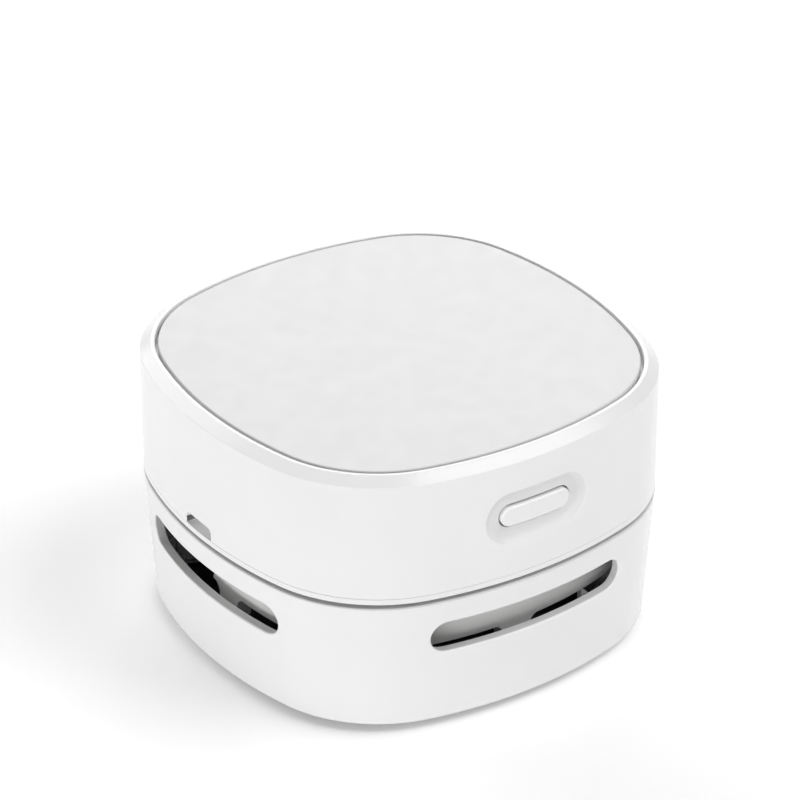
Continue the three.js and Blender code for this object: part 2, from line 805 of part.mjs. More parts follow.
function addFan() {
  const bladeInner = eyeRadius - bladeStart;
  const steps = [...Array(smallSteps / 2 + 1).keys()];
  const bladeAt = (side) => (i) => {
    const share = (2 * i) / smallSteps;
    const radius = bladeInner + (fanRadius - bladeInner) * share;
    const angle = bladeSweep * share * degrees + (side * bladeThickness) / 2 / radius;
    return [radius * Math.cos(angle), radius * Math.sin(angle)];
  };
  const bladeOutline = [...steps.map(bladeAt(-1)), ...steps.reverse().map(bladeAt(1))];
  const blades = [...Array(bladeCount).keys()].map((i) =>
    slab(bladeOutline, bladeBottom, discBottom + discThickness / 2).rotateZ((2 * Math.PI * i) / bladeCount));
  const disc = rod(fanRadius, discBottom, discTop, 0, 0, ringSteps);
  const hub = turned([
    [0, bladeBottom], [hubRadius - 2 * edge, bladeBottom], [hubRadius, bladeBottom + 2 * edge],
    [hubRadius, discTop - edge], [0, discTop - edge],
  ], roundSteps);
  const bore = rod(shaftRadius + edge, bladeBottom - overrun, discTop + overrun);
  piece("fan", "impeller", cut(join(disc, hub, ...blades), bore), blackPlastic);
  const shaftTop = motorBottom + motorBore - slip;
  piece("fan", "motor_shaft", rod(shaftRadius, bladeBottom, shaftTop), steel);
}

function addMotor() {
  const bearing = turned([
    [shaftRadius + slip, plateBottom + solder], [bearingRadius, plateBottom + solder],
    [bearingRadius, motorBottom - solder], [shaftRadius + slip, motorBottom - solder],
  ], roundSteps);
  piece("upper", "motor_bearing", bearing, bronze);
  const gasketTop = gasketBottom + gasketHeight;
  const gasket = turned([
    [gasketInner, gasketBottom], [motorRadius - seat, gasketBottom],
    [motorRadius - seat, gasketTop], [gasketInner, gasketTop],
  ], roundSteps);
  piece("upper", "motor_gasket", gasket, rubber);
  const can = turned([
    [0, motorBottom + motorBore], [shaftRadius + slip, motorBottom + motorBore],
    [shaftRadius + slip, motorBottom], [motorRadius - motorEdge, motorBottom],
    [motorRadius, motorBottom + motorEdge], [motorRadius, motorTop], [0, motorTop],
  ], roundSteps);
  piece("upper", "motor_can", can, steel);
  const lid = rod(motorRadius - capInset, capBottom, capTop, 0, 0, roundSteps);
  piece("upper", "motor_end_cap", lid, blackPlastic);

  const earReach = postReach + postRadius + edge;
  const band = turned([
    [motorRadius + slip, clampBottom], [clampOuter, clampBottom],
    [clampOuter, clampBottom + clampHeight], [motorRadius + slip, clampBottom + clampHeight],
  ], roundSteps);
  const ears = [-1, 1].map((sign) => cut(
    block(-earReach, earReach, -earWidth / 2, earWidth / 2, clampBottom, clampBottom + earThickness),
    rod(clampOuter - rooted, clampBottom - overrun, clampBottom + clampHeight, 0, 0, roundSteps),
    block(
      sign > 0 ? -caseHalf : 0, sign > 0 ? 0 : caseHalf, -earWidth, earWidth,
      clampBottom - overrun, clampBottom + clampHeight,
    ),
    rod(screwHole, clampBottom - overrun, clampBottom + clampHeight, sign * postReach, 0),
  ));
  piece("upper", "motor_clamp", join(band, ...ears), steel);
  const clampScrew = screw(housingHeadRadius, earThickness + seat + grip / 2).rotateX(Math.PI);
  const clampTop = clampBottom + earThickness + solder;
  for (const [name, sign] of [["left", -1], ["right", 1]]) {
    piece("upper", "clamp_screw_" + name, clampScrew, steel, sign * postReach, 0, clampTop);
    const x = (sign * terminalSpread) / 2;
    const terminal = block(
      x - terminalThickness / 2, x + terminalThickness / 2, -terminalWidth / 2, terminalWidth / 2,
      terminalBottom, terminalTop,
    );
    piece("upper", "motor_terminal_" + name, terminal, nickel);
  }
}

function addBattery() {
  const half = cellLength / 2;
  const cell = turned([
    [0, -half], [cellRadius - edge, -half], [cellRadius, edge - half], [cellRadius, half - 2 * edge],
    [cellRadius - edge, half - edge], [cellNipple, half - edge], [cellNipple, half], [0, half],
  ], roundSteps).rotateY(Math.PI / 2).translate(0, cellY, cellZ);
  piece("upper", "battery_cell", cell, wrap);

  const tray = common(
    block(-cradleLength / 2, cradleLength / 2, cellY - cradleHalf, cellY + cradleHalf, cradleBottom, cellZ),
    stack([[rimWidth + slip, cradleBottom - overrun], [rimWidth + slip, cellZ + overrun]]),
  );
  const room = cradleLength / 2 - endWall;
  const trough = new THREE.CylinderGeometry(cellRadius + slip, cellRadius + slip, 2 * room, roundSteps)
    .rotateZ(Math.PI / 2)
    .translate(0, cellY, cellZ);
  piece("upper", "battery_cradle", cut(tray, trough), blackPlastic);
  for (const [name, sign] of [["left", -1], ["right", 1]]) {
    const x = sign * batteryTabX;
    const tab = block(
      x - tabThickness / 2, x + tabThickness / 2, cellY - tabBreadth / 2, cellY + tabBreadth / 2,
      cellZ - cellRadius / 2, cellZ + cellRadius + tabRise,
    );
    piece("upper", "battery_tab_" + name, tab, nickel);
  }
}

function addBoards() {
  const area = block(-caseHalf, boardRight, -caseHalf, boardBackY, boardBottom, boardTop);
  const inside = stack([[boardInset, boardBottom - overrun], [boardInset, boardTop + overrun]]);
  const scoop = rod(
    bossRadius + slip + seat, boardBottom - overrun, boardTop + overrun,
    -frameBossSpread, -frameBossSpread,
  );
  const motorBite = rod(boardLegY, boardBottom - overrun, boardTop + overrun, 0, 0, roundSteps);
  const postBite = rod(postRadius + slip, boardBottom - overrun, boardTop + overrun, -postReach, 0);
  piece("upper", "circuit_board", cut(common(area, inside), scoop, motorBite, postBite), laminate);

  const legMiddle = (boardEdge + boardLegX) / 2;
  const chip = block(
    -legMiddle - chipWidth / 2, -legMiddle + chipWidth / 2,
    -boardLegY - chipLength / 2, -boardLegY + chipLength / 2,
    partBottom, partBottom + chipHeight,
  );
  piece("upper", "charge_chip", chip, epoxy);
  const can = turned([
    [0, 0], [capacitorRadius, 0], [capacitorRadius, capacitorHeight - edge],
    [capacitorRadius - edge, capacitorHeight], [0, capacitorHeight],
  ], smallSteps);
  piece("upper", "capacitor", can, epoxy, -boardLegX / 2, -(boardEdge + boardLegY) / 2, partBottom);
  const ledY = socketWidth / 2 + ledLength;
  const led = block(
    ledWidth - boardEdge, 2 * ledWidth - boardEdge, ledY, ledY + ledLength,
    partBottom, partBottom + ledWidth,
  );
  piece("upper", "status_led", led, redWire);

  const back = socketDepth - socketFace;
  const mouthHalf = socketWidth / 2 - socketWall;
  const shell = block(
    -socketFace, back, -socketWidth / 2, socketWidth / 2, partBottom, partBottom + socketHeight,
  );
  const mouth = block(
    -socketFace - overrun, back - socketBack, -mouthHalf, mouthHalf,
    partBottom + socketWall, partBottom + socketHeight - socketWall,
  );
  piece("upper", "usb_socket", cut(shell, mouth), steel);
  const tongueZ = partBottom + socketHeight / 2;
  const tongue = block(
    tongueSetback - socketFace, back - socketBack - solder, -tongueWidth / 2, tongueWidth / 2,
    tongueZ - tongueThickness / 2, tongueZ + tongueThickness / 2,
  );
  piece("upper", "usb_tongue", tongue, blackPlastic);
}

function addButton() {
  const stem = common(
    stadium(capWidth, capThickness, flangeBack, caseHalf + overrun, buttonZ),
    stack([[capFace, buttonZ - recessHeight], [capFace, buttonZ + recessHeight]]),
  );
  const flange = stadium(flangeWidth, flangeHeight, flangeBack, flangeFront, buttonZ);
  piece("button", "button_cap", join(stem, flange), whitePlastic);

  const half = plungerSize / 2;
  const plunger = block(-half, half, -plungerFront, -plungerBack, buttonZ - half, buttonZ + half);
  piece("plunger", "switch_plunger", plunger, blackPlastic);
  const room = half + slip;
  const body = block(
    -switchSize / 2, switchSize / 2, -switchFront, -switchBack,
    buttonZ - switchSize / 2, buttonZ + switchSize / 2,
  );
  const well = block(
    -room, room, -switchFront - overrun, travel + slip - plungerBack, buttonZ - room, buttonZ + room,
  );
  piece("upper", "switch_body", cut(body, well), blackPlastic);
  const board = block(
    -switchBoardWidth / 2, switchBoardWidth / 2, -switchBoardFront, switchBoardThickness - switchBoardFront,
    partBottom, buttonZ + switchSize / 2 + switchBoardMargin,
  );
  piece("upper", "switch_board", board, laminate);
}

// Insulated wire through a list of points, with flat ends
function wire(points) {
  const circle = [...Array(wireSides).keys()].map((i) => {
    const angle = (2 * Math.PI * i) / wireSides;
    return new THREE.Vector2(wireRadius * Math.cos(angle), wireRadius * Math.sin(angle));
  });
  const path = new THREE.CatmullRomCurve3(points.map((p) => new THREE.Vector3(...p)), false, "centripetal");
  const settings = { steps: wireSteps, extrudePath: path, bevelEnabled: false };
  return new THREE.ExtrudeGeometry(new THREE.Shape(circle), settings);
}

function addWires() {
  const tabTop = cellZ + cellRadius + tabRise + slip;
  const padZ = boardTop + slip;
  const turnZ = tabTop + wireRise;
  const side = (boardLegX + boardEdge) / 2;
  piece("upper", "battery_lead_positive", wire([
    [-batteryTabX, cellY, tabTop],
    [-batteryTabX, cellY - wireBow / 2, turnZ],
    [-side, cellY - cradleHalf - wireBow, turnZ - wireRise],
    [-side, boardBackY - wireBow / 2, (turnZ + padZ) / 2],
    [-side, boardBackY - wireBow, padZ],
  ]), redWire);
  piece("upper", "battery_lead_negative", wire([
    [batteryTabX, cellY, tabTop],
    [batteryTabX, cellY - wireBow / 2, turnZ],
    [batteryTabX + wireBow, cellY - cradleHalf - wireBow, turnZ - wireRise],
    [batteryTabX + wireBow, -postRadius, (turnZ + padZ) / 2],
    [boardRight + wireBow, -boardLegY - wireBow / 2, padZ + 2 * wireRise],
    [boardRight - wireBow / 2, -boardLegY - wireBow, padZ + wireRise],
    [boardRight - wireBow, -boardLegY - wireBow, padZ],
  ]), blackWire);
  for (const [name, sign, material] of [["positive", -1, redWire], ["negative", 1, blackWire]]) {
    const x = (sign * terminalSpread) / 2;
    piece("upper", "motor_lead_" + name, wire([
      [x, -terminalWidth / 2 - slip, (terminalBottom + terminalTop) / 2],
      [x, -motorRadius + wireBow, (terminalBottom + terminalTop) / 2],
      [x, -clampOuter - wireBow, motorTop - wireRise],
      [x / 2, -boardLegY - wireBow, (motorTop + padZ) / 2],
      [x / 2, -boardLegY - wireBow, padZ],
    ]), material);
  }
}

addDustBox();
addFilter();
addUpperCase();
addMiddleFrame();
addFanHousing();
addFan();
addMotor();
addBattery();
addBoards();
addButton();
addWires();

export default vacuum;
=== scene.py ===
"""Desktop mini vacuum cleaner: looks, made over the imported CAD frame.

Sizes are in millimetres, +Z up, the push button looking along -Y, and become metres in the meshes.
"""

import logging
from collections.abc import Iterable, Sequence
from dataclasses import dataclass
from enum import Enum
from functools import cached_property
from math import asin, atan2, ceil, copysign, cos, floor, hypot, pi, radians, sin, sqrt, tan
from typing import Protocol

import bpy
from bpy.types import ID, Material, NodeOutputs, NodeSocket, NodeTree, Object
from mathutils import Matrix, Vector
from mathutils.geometry import delaunay_2d_cdt


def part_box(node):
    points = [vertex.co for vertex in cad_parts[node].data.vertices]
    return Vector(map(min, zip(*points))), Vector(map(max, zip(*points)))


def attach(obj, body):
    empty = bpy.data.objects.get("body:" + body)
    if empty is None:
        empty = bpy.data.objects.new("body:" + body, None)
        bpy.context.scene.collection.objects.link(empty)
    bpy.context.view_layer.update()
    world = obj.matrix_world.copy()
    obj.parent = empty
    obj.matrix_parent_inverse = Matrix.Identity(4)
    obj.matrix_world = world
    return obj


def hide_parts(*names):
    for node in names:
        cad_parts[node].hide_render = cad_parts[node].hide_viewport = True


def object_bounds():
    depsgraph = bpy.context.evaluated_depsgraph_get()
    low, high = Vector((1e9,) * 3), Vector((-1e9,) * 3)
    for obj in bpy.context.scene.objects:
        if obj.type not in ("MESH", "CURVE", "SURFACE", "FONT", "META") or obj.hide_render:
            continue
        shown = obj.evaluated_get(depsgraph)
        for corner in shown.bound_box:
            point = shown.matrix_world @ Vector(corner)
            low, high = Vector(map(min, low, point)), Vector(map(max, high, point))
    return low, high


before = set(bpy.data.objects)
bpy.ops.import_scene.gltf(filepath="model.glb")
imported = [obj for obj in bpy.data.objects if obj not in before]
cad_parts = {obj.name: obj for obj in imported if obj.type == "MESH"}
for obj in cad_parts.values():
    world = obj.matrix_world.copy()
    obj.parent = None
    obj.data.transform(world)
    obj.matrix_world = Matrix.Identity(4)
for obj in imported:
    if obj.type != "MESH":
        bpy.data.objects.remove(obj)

log = logging.getLogger("vacuum")
CAD_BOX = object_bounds()
# One millimetre in metres
MM = 0.001
# Lengths in millimetres that differ by less are the same
TINY = 1e-6
# How far cutters stand out of what they cut
OVERCUT = 1.0


class Side(Enum):
    """The sides of the case, counted anticlockwise from above."""

    FRONT = 0
    RIGHT = 1
    BACK = 2
    LEFT = 3


@dataclass(frozen=True)
class Box:
    """The box of a CAD node in millimetres."""

    low: Vector
    high: Vector

    @property
    def bottom(self) -> float:
        """Lowest height."""
        return self.low.z

    @property
    def top(self) -> float:
        """Highest height."""
        return self.high.z

    @property
    def reach(self) -> float:
        """Half of the width."""
        return (self.high.x - self.low.x) / 2

    @property
    def middle(self) -> Vector:
        """Centre of the box."""
        return (self.low + self.high) / 2


def box(node: str) -> Box:
    """Measures a CAD node.

    Args:
        node: name of the node.

    Returns:
        Its box at rest.
    """
    low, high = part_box(node)
    return Box(low / MM, high / MM)


# Corners of a section: across, up and rounding of each
Corners = Sequence[tuple[float, float, float]]


@dataclass(frozen=True)
class Spot:
    """A point of a section, across and up, and the way that its surface looks."""

    u: float
    v: float
    nu: float
    nv: float


def rounded(corners: Corners, facets: int = 5) -> list[list[Spot]]:
    """Rounds the corners of a closed section.

    Args:
        corners: across, up and radius of each corner, listed anticlockwise.
        facets: flats in each rounding.

    Returns:
        The spots of each corner; the flats between corners run from one list to the next.
    """
    places = [Vector(corner[:2]) for corner in corners]
    arcs = []
    for i, (_, _, radius) in enumerate(corners):
        before = (places[i] - places[i - 1]).normalized()
        after = (places[(i + 1) % len(places)] - places[i]).normalized()
        turn = atan2(before.cross(after), before.dot(after))
        bulge = copysign(radius, turn)
        normal = Vector((before.y, -before.x))
        start = places[i] - before * radius * abs(tan(turn / 2))
        centre = start - normal * bulge
        arc = []
        for k in range(facets + 1 if radius else 2):
            share = k / facets if radius else k
            look = Matrix.Rotation(turn * share, 2) @ normal
            place = centre + look * bulge if radius else places[i]
            arc.append(Spot(place.x, place.y, look.x, look.y))
        arcs.append(arc)
    return arcs


def stadium(
    width: float, height: float, z: float = 0.0, grow: float = 0.0, facets: int = 12
) -> list[Spot]:
    """Draws an outline with round ends, anticlockwise from the lower left.

    Args:
        width: full width.
        height: full height, twice the radius of the ends.
        z: height of its middle.
        grow: how far it is moved outwards on all sides.
        facets: flats in each round end.

    Returns:
        The spots of the outline.
    """
    spacing = 1.0
    radius = height / 2
    straight = width / 2 - radius
    count = max(2, 2 * ceil(straight / spacing))
    spots = []
    for end in (1, -1):
        spots += [
            Spot(end * straight * (2 * k / count - 1), -end * radius, 0, -end) for k in range(count)
        ]
        for k in range(facets):
            angle = pi * (k / facets - 1 / 2)
            across, up = end * cos(angle), end * sin(angle)
            spots.append(Spot(end * straight + radius * across, radius * up, across, up))
    return [Spot(s.u + s.nu * grow, z + s.v + s.nv * grow, s.nu, s.nv) for s in spots]


def inside(place: Vector, loop: Sequence[Vector]) -> bool:
    """Tells whether a point lies within a loop.

    Args:
        place: the point.
        loop: corners of the loop.

    Returns:
        True within the loop.
    """
    crossings = 0
    for a, b in zip(loop, [*loop[1:], loop[0]]):
        if (a.y > place.y) != (b.y > place.y):
            crossings += place.x < a.x + (b.x - a.x) * (place.y - a.y) / (b.y - a.y)
    return crossings % 2 == 1


def shown(name: str, data: ID) -> Object:
    """Puts an object with some data into the scene.

    Args:
        name: its name.
        data: its mesh, lamp or camera.

    Returns:
        The object.
    """
    made = bpy.data.objects.new(name, data)
    bpy.context.scene.collection.objects.link(made)
    return made


class Path(Protocol):
    """What a section can be carried round."""

    def stations(self) -> list[float]:
        """Where sections stand on the path."""

    def stand(self, station: float, spot: Spot) -> tuple[Vector, Vector]:
        """Place and normal of a spot of the section at a station."""


class Surface:
    """A mesh in the making. Points are shared, and every face corner keeps its own normal."""

    # Points that round to the same thousandth of a millimetre are one
    GRID = 1e3
    # Keeps round sizes away from the border between two roundings
    SHIFT = 0.137

    def __init__(self) -> None:
        """Starts without points."""
        self.places: list[Vector] = []
        self.known: dict[tuple[int, ...], int] = {}
        self.corners: list[tuple[int, Vector]] = []
        self.faces: list[list[int]] = []
        self.parts: list[int] = []

    def corner(self, place: Vector, normal: Vector) -> int:
        """Adds a face corner.

        Args:
            place: where it is, in millimetres.
            normal: the way that the surface looks there.

        Returns:
            Its number.
        """
        key = tuple(round(c * self.GRID + self.SHIFT) for c in place)
        point = self.known.setdefault(key, len(self.places))
        if point == len(self.places):
            self.places.append(place)
        self.corners.append((point, normal.normalized()))
        return len(self.corners) - 1

    def face(self, corners: Iterable[int], part: int = 0) -> None:
        """Adds a face, turned the way that its normals look; one without area is left out.

        Args:
            corners: numbers of its corners, in order.
            part: which of the piece's finishes it has.
        """
        kept: list[int] = []
        for corner in corners:
            if all(self.corners[corner][0] != self.corners[other][0] for other in kept):
                kept.append(corner)
        if len(kept) < 3:
            return
        places = [self.places[self.corners[corner][0]] for corner in kept]
        area = Vector()
        for a, b in zip(places, [*places[1:], places[0]]):
            area += a.cross(b)
        if area.dot(sum((self.corners[corner][1] for corner in kept), Vector())) < 0:
            kept.reverse()
        self.faces.append(kept)
        self.parts.append(part)

    def strip(
        self, first: Sequence[int], second: Sequence[int], closed: bool = True, part: int = 0
    ) -> None:
        """Joins two rows of corners.

        Args:
            first: one row.
            second: the other row, with as many corners.
            closed: whether the rows come back to their start.
            part: which of the piece's finishes the faces have.
        """
        count = len(first)
        for i in range(count if closed else count - 1):
            j = (i + 1) % count
            self.face((first[i], first[j], second[j], second[i]), part)

    def strips(self, rows: Sequence[Sequence[int]], closed: bool = True) -> None:
        """Joins each row of corners to the next; closed rows come back to their start."""
        for first, second in zip(rows, rows[1:]):
            self.strip(first, second, closed)

    def cap(self, corners: Iterable[int], look: Vector | None = None) -> None:
        """Adds a face with sharp edges on points that are already there.

        Args:
            corners: corners on those points, in order.
            look: the way that the face looks, or None for straight away from the Z axis.
        """
        places = [self.places[self.corners[corner][0]] for corner in corners]
        looks = [Vector((place.x, place.y, 0)) if look is None else look for place in places]
        self.face([self.corner(place, way) for place, way in zip(places, looks)])

    def carry(
        self, path: Path, section: Sequence[Sequence[Spot]], flats: Sequence[int] = ()
    ) -> list[list[list[int]]]:
        """Carries a closed section round a closed path.

        Args:
            path: what the section goes round.
            section: spots of each corner, from rounded().
            flats: corners after which the flat is left open.

        Returns:
            The rows of each corner.
        """
        rows = [
            [[self.corner(*path.stand(station, spot)) for station in path.stations()] for spot in arc]
            for arc in section
        ]
        for i, arc in enumerate(rows):
            self.strips(arc)
            if i not in flats:
                self.strip(arc[-1], rows[(i + 1) % len(rows)][0])
        return rows

    def post(self, x: float, y: float, radius: float, bottom: float, top: float) -> None:
        """Adds an upright round post with rounded ends.

        Args:
            x: place across.
            y: place in depth.
            radius: its radius.
            bottom: its lower end.
            top: its upper end.
        """
        edge = 0.25
        corners = [(0, bottom, 0), (radius, bottom, edge), (radius, top, edge), (0, top, 0)]
        self.carry(Circle(x, y, facets=32), rounded(corners))

    def plate(self, path: Path, inset: float, bottom: float, top: float, edge: float) -> None:
        """Adds a plate with the outline of a path.

        Args:
            path: its outline.
            inset: how far inside the path its edge is.
            bottom: its lower face.
            top: its upper face.
            edge: rounding of its edges.
        """
        ring = 12.0
        corners = [(-ring, bottom, 0), (-inset, bottom, edge), (-inset, top, edge), (-ring, top, 0)]
        rows = self.carry(path, rounded(corners), flats=[3])
        self.face(rows[0][1])
        self.face(rows[3][0])

    def build(self, name: str) -> Object:
        """Turns the surface into an object.

        Args:
            name: name of the object.

        Returns:
            The object, in metres.
        """
        mesh = bpy.data.meshes.new(name)
        faces = [[self.corners[corner][0] for corner in face] for face in self.faces]
        mesh.from_pydata([place * MM for place in self.places], [], faces)
        mesh.shade_smooth()
        mesh.polygons.foreach_set("material_index", self.parts)
        mesh.normals_split_custom_set([self.corners[corner][1] for face in self.faces for corner in face])
        return shown(name, mesh)


@dataclass(frozen=True)
class Circle:
    """Path of a turned piece; spots are radius and height."""

    x: float = 0
    y: float = 0
    facets: int = 96

    def stations(self) -> list[float]:
        """Angles of the sections."""
        return [2 * pi * k / self.facets for k in range(self.facets)]

    def stand(self, station: float, spot: Spot) -> tuple[Vector, Vector]:
        """Place and normal of a spot at an angle."""
        across, middle = Vector((cos(station), sin(station), 0)), Vector((self.x, self.y, spot.v))
        return middle + across * spot.u, across * spot.nu + Vector((0, 0, spot.nv))


@dataclass(frozen=True)
class CaseOutline:
    """Rounded square of eight arcs. A spot's u is how far outside the case it is."""

    half: float
    side_radius: float = 79.3
    corner_radius: float = 26.3
    facets: int = 60
    extra: tuple[float, ...] = ()

    @cached_property
    def side_centre(self) -> float:
        """Middle of a side's arc, outwards."""
        return self.half - self.side_radius

    @cached_property
    def corner_centre(self) -> float:
        """Middle of a corner's arc, along both sides."""
        gap = self.side_radius - self.corner_radius
        return (self.side_centre + sqrt(2 * gap**2 - self.side_centre**2)) / 2

    @cached_property
    def flank(self) -> float:
        """Angle at which a side's arc meets a corner's."""
        return atan2(self.corner_centre, self.corner_centre - self.side_centre)

    @cached_property
    def quarter(self) -> float:
        """Length of the outline along one side."""
        return 2 * (self.side_radius * self.flank + self.corner_radius * (pi / 4 - self.flank))

    def stations(self) -> list[float]:
        """Lengths along the outline, from the corner left of the front."""
        even = [self.quarter * (k / self.facets - 1 / 2) for k in range(4 * self.facets)]
        return sorted({*even, *self.extra})

    def angle(self, along: float) -> float:
        """Angle that the outline looks at, from the middle of a side.

        Args:
            along: length from the middle of the side.

        Returns:
            The angle in radians.
        """
        reach = self.side_radius * self.flank
        past = max(0.0, abs(along) - reach)
        return copysign(min(abs(along), reach) / self.side_radius + past / self.corner_radius, along)

    def along(self, across: float, inset: float) -> float:
        """Turns a distance across a side into a length along the outline.

        Args:
            across: distance from the middle of the side.
            inset: how far inside the case the surface is.

        Returns:
            The length from the middle of the side.
        """
        turn = asin(abs(across) / (self.side_radius - inset))
        length = self.side_radius * turn
        if turn > self.flank:
            turn = asin((abs(across) - self.corner_centre) / (self.corner_radius - inset))
            length = self.side_radius * self.flank + self.corner_radius * (turn - self.flank)
        return copysign(length, across)

    def stand(self, station: float, spot: Spot) -> tuple[Vector, Vector]:
        """Finds a spot of the section.

        Args:
            station: length along the outline.
            spot: the spot.

        Returns:
            Its place and normal.
        """
        side = floor(station / self.quarter + 1 / 2)
        angle = self.angle(station - side * self.quarter)
        shift, outwards, radius = 0.0, self.side_centre, self.side_radius
        if abs(angle) > self.flank:
            shift = copysign(self.corner_centre, angle)
            outwards, radius = self.corner_centre, self.corner_radius
        look = Vector((sin(angle), -cos(angle), 0))
        place = Vector((shift, -outwards, spot.v)) + look * (radius + spot.u)
        to_side = Matrix.Rotation(side * pi / 2, 3, "Z")
        return to_side @ place, to_side @ (look * spot.nu + Vector((0, 0, spot.nv)))


@dataclass(frozen=True)
class Recess:
    """Shallow stadium dish in the front of the case, with a rounded slope down to a flat floor."""

    width: float
    height: float
    z: float
    depth: float
    slope: float
    softness: float = 0.2

    def depth_at(self, across: float, z: float) -> float:
        """Depth of the dish.

        Args:
            across: distance from the middle of the front.
            z: height.

        Returns:
            How far the surface is pressed in.
        """
        radius = self.height / 2
        aside = max(0.0, abs(across) - (self.width / 2 - radius))
        within = radius - hypot(aside, z - self.z)
        soft = (within + sqrt(within**2 + self.softness**2)) / 2
        rest = 1 - min(soft / self.slope, 1.0)
        return self.depth * (1 - rest**2)


@dataclass(frozen=True)
class Hole:
    """Stadium opening through one side of the case, with rounded edges."""

    side: Side
    width: float
    height: float
    z: float
    edge: float = 0.35
    facets: int = 4

    def loop(self, grow: float) -> list[Spot]:
        """The opening's outline, grown on all sides."""
        return stadium(self.width, self.height, self.z, grow)


@dataclass
class Wall:
    """The flat of a shell's section between two corners, carried round the case, with its openings."""

    surface: Surface
    outline: CaseOutline
    low: Spot
    high: Spot
    recess: Recess | None = None

    # Step over which the slope of the recess is taken
    STEP = 0.01
    # Lines that the triangles follow, by their distance outside the recess's edge
    GUIDES = (0.5, 0.25, 0.1, 0, -0.1, -0.2, -0.35, -0.5, -0.7, -0.9, -1.1, -1.3)
    # The one of them at which the recess's painted shade, its second finish, begins
    EDGE = 3
    # Room round a drawn line that is kept free of other points, in steps along the outline
    FREE = 0.6
    # Digits to which points are compared, and the distance at which they merge
    DIGITS = 7
    MERGE = 1e-7

    def inset(self, z: float) -> float:
        """How far inside the case the wall is at a height."""
        share = (z - self.low.v) / (self.high.v - self.low.v)
        return -(self.low.u + (self.high.u - self.low.u) * share)

    def pressed(self, place: Vector) -> float:
        """Depth of the recess at a place on the wall."""
        dished = self.recess is not None and place.y <= 0
        return self.recess.depth_at(place.x, place.z) if dished else 0.0

    def corner(self, station: float, z: float) -> int:
        """Adds a point of the wall, recess included, and gives its number."""
        return self.surface.corner(*self.stand(station, z))

    def stand(self, station: float, z: float) -> tuple[Vector, Vector]:
        """Place and normal of a point of the wall.

        Args:
            station: length along the outline.
            z: height.

        Returns:
            Its place and normal, recess included.
        """
        spot = Spot(-self.inset(z), z, self.low.nu, self.low.nv)
        place, normal = self.outline.stand(station, spot)
        depth = self.pressed(place)
        if not depth:
            return place, normal
        flat = Vector((normal.x, normal.y, 0)).normalized()
        across, up = Vector((self.STEP, 0, 0)), Vector((0, 0, self.STEP))
        slope_across = (self.pressed(place + across) - self.pressed(place - across)) / (2 * self.STEP)
        slope_up = (self.pressed(place + up) - self.pressed(place - up)) / (2 * self.STEP)
        return place - flat * depth, normal + Vector((slope_across, 0, slope_up))

    def mapped(self, side: Side, loop: Sequence[Spot]) -> list[Vector]:
        """Turns a loop on a side into lengths along the outline and heights."""
        start = side.value * self.outline.quarter
        return [Vector((start + self.outline.along(s.u, self.inset(s.v)), s.v)) for s in loop]

    def rim(self, hole: Hole) -> list[int]:
        """Rounds the edge of an opening.

        Args:
            hole: the opening.

        Returns:
            The last row, where the straight passage through the wall begins.
        """
        rows = []
        to_side = Matrix.Rotation(hole.side.value * pi / 2, 3, "Z")
        for k in range(hole.facets + 1):
            angle = pi / 2 * k / hole.facets
            loop = hole.loop(hole.edge * (1 - sin(angle)))
            row = []
            for spot, at in zip(loop, self.mapped(hole.side, loop)):
                place, normal = self.stand(at.x, at.y)
                passage = to_side @ Vector((-spot.nu, 0, -spot.nv))
                outwards = normal.normalized()
                look = outwards * cos(angle) + passage * sin(angle)
                row.append(self.surface.corner(place - outwards * hole.edge * (1 - cos(angle)), look))
            rows.append(row)
        self.surface.strips(rows)
        return rows[-1]

    def fill(self, levels: Sequence[float], holes: Sequence[Hole], notch: "Notch | None") -> None:
        """Covers the wall between its two rows and round its openings.

        Args:
            levels: heights of the rows of points, the wall's ends included.
            holes: openings to leave out.
            notch: opening in the lower edge to leave out.
        """
        stations = self.outline.stations()
        for side in Side:
            start = (side.value - 1 / 2) * self.outline.quarter
            end = start + self.outline.quarter
            own = [s for s in stations if start - TINY <= s < end - TINY] + [end]
            loops = [self.mapped(side, hole.loop(hole.edge)) for hole in holes if hole.side is side]
            guides = []
            if self.recess is not None and side is Side.FRONT:
                guides = [self.mapped(side, loop) for loop in self.recess_loops()]
            if notch is not None and side is notch.side:
                loops.append(notch.path(self.outline, levels[0]))
            if loops or guides:
                self.fill_side(own, levels, loops, guides)
                continue
            self.surface.strips([[self.corner(s, z) for s in own] for z in levels], closed=False)

    def recess_loops(self) -> list[list[Spot]]:
        """Outlines at several depths of the recess, for the mesh to follow."""
        dish, grows = self.recess, (*self.GUIDES, -self.recess.slope)
        return [stadium(dish.width, dish.height, dish.z, grow, facets=24) for grow in grows]

    def fill_side(
        self, stations: Sequence[float], levels: Sequence[float], loops: Sequence[Sequence[Vector]],
        guides: Sequence[Sequence[Vector]],
    ) -> None:
        """Covers one side of the wall with triangles round its openings.

        Args:
            stations: lengths along the outline, both ends included.
            levels: heights of the rows of points.
            loops: edges of the openings.
            guides: closed lines that the triangles follow.
        """
        spacing = stations[1] - stations[0]
        lines = [*loops, *guides]
        points: list[Vector] = []
        edges: list[tuple[int, int]] = []
        number: dict[tuple[float, float], int] = {}

        def point(place: Vector) -> int:
            """Lists a point, once where it comes twice.

            Args:
                place: the point.

            Returns:
                Its number.
            """
            key = (round(place.x, self.DIGITS), round(place.y, self.DIGITS))
            if key not in number:
                number[key] = len(points)
                points.append(place)
            return number[key]

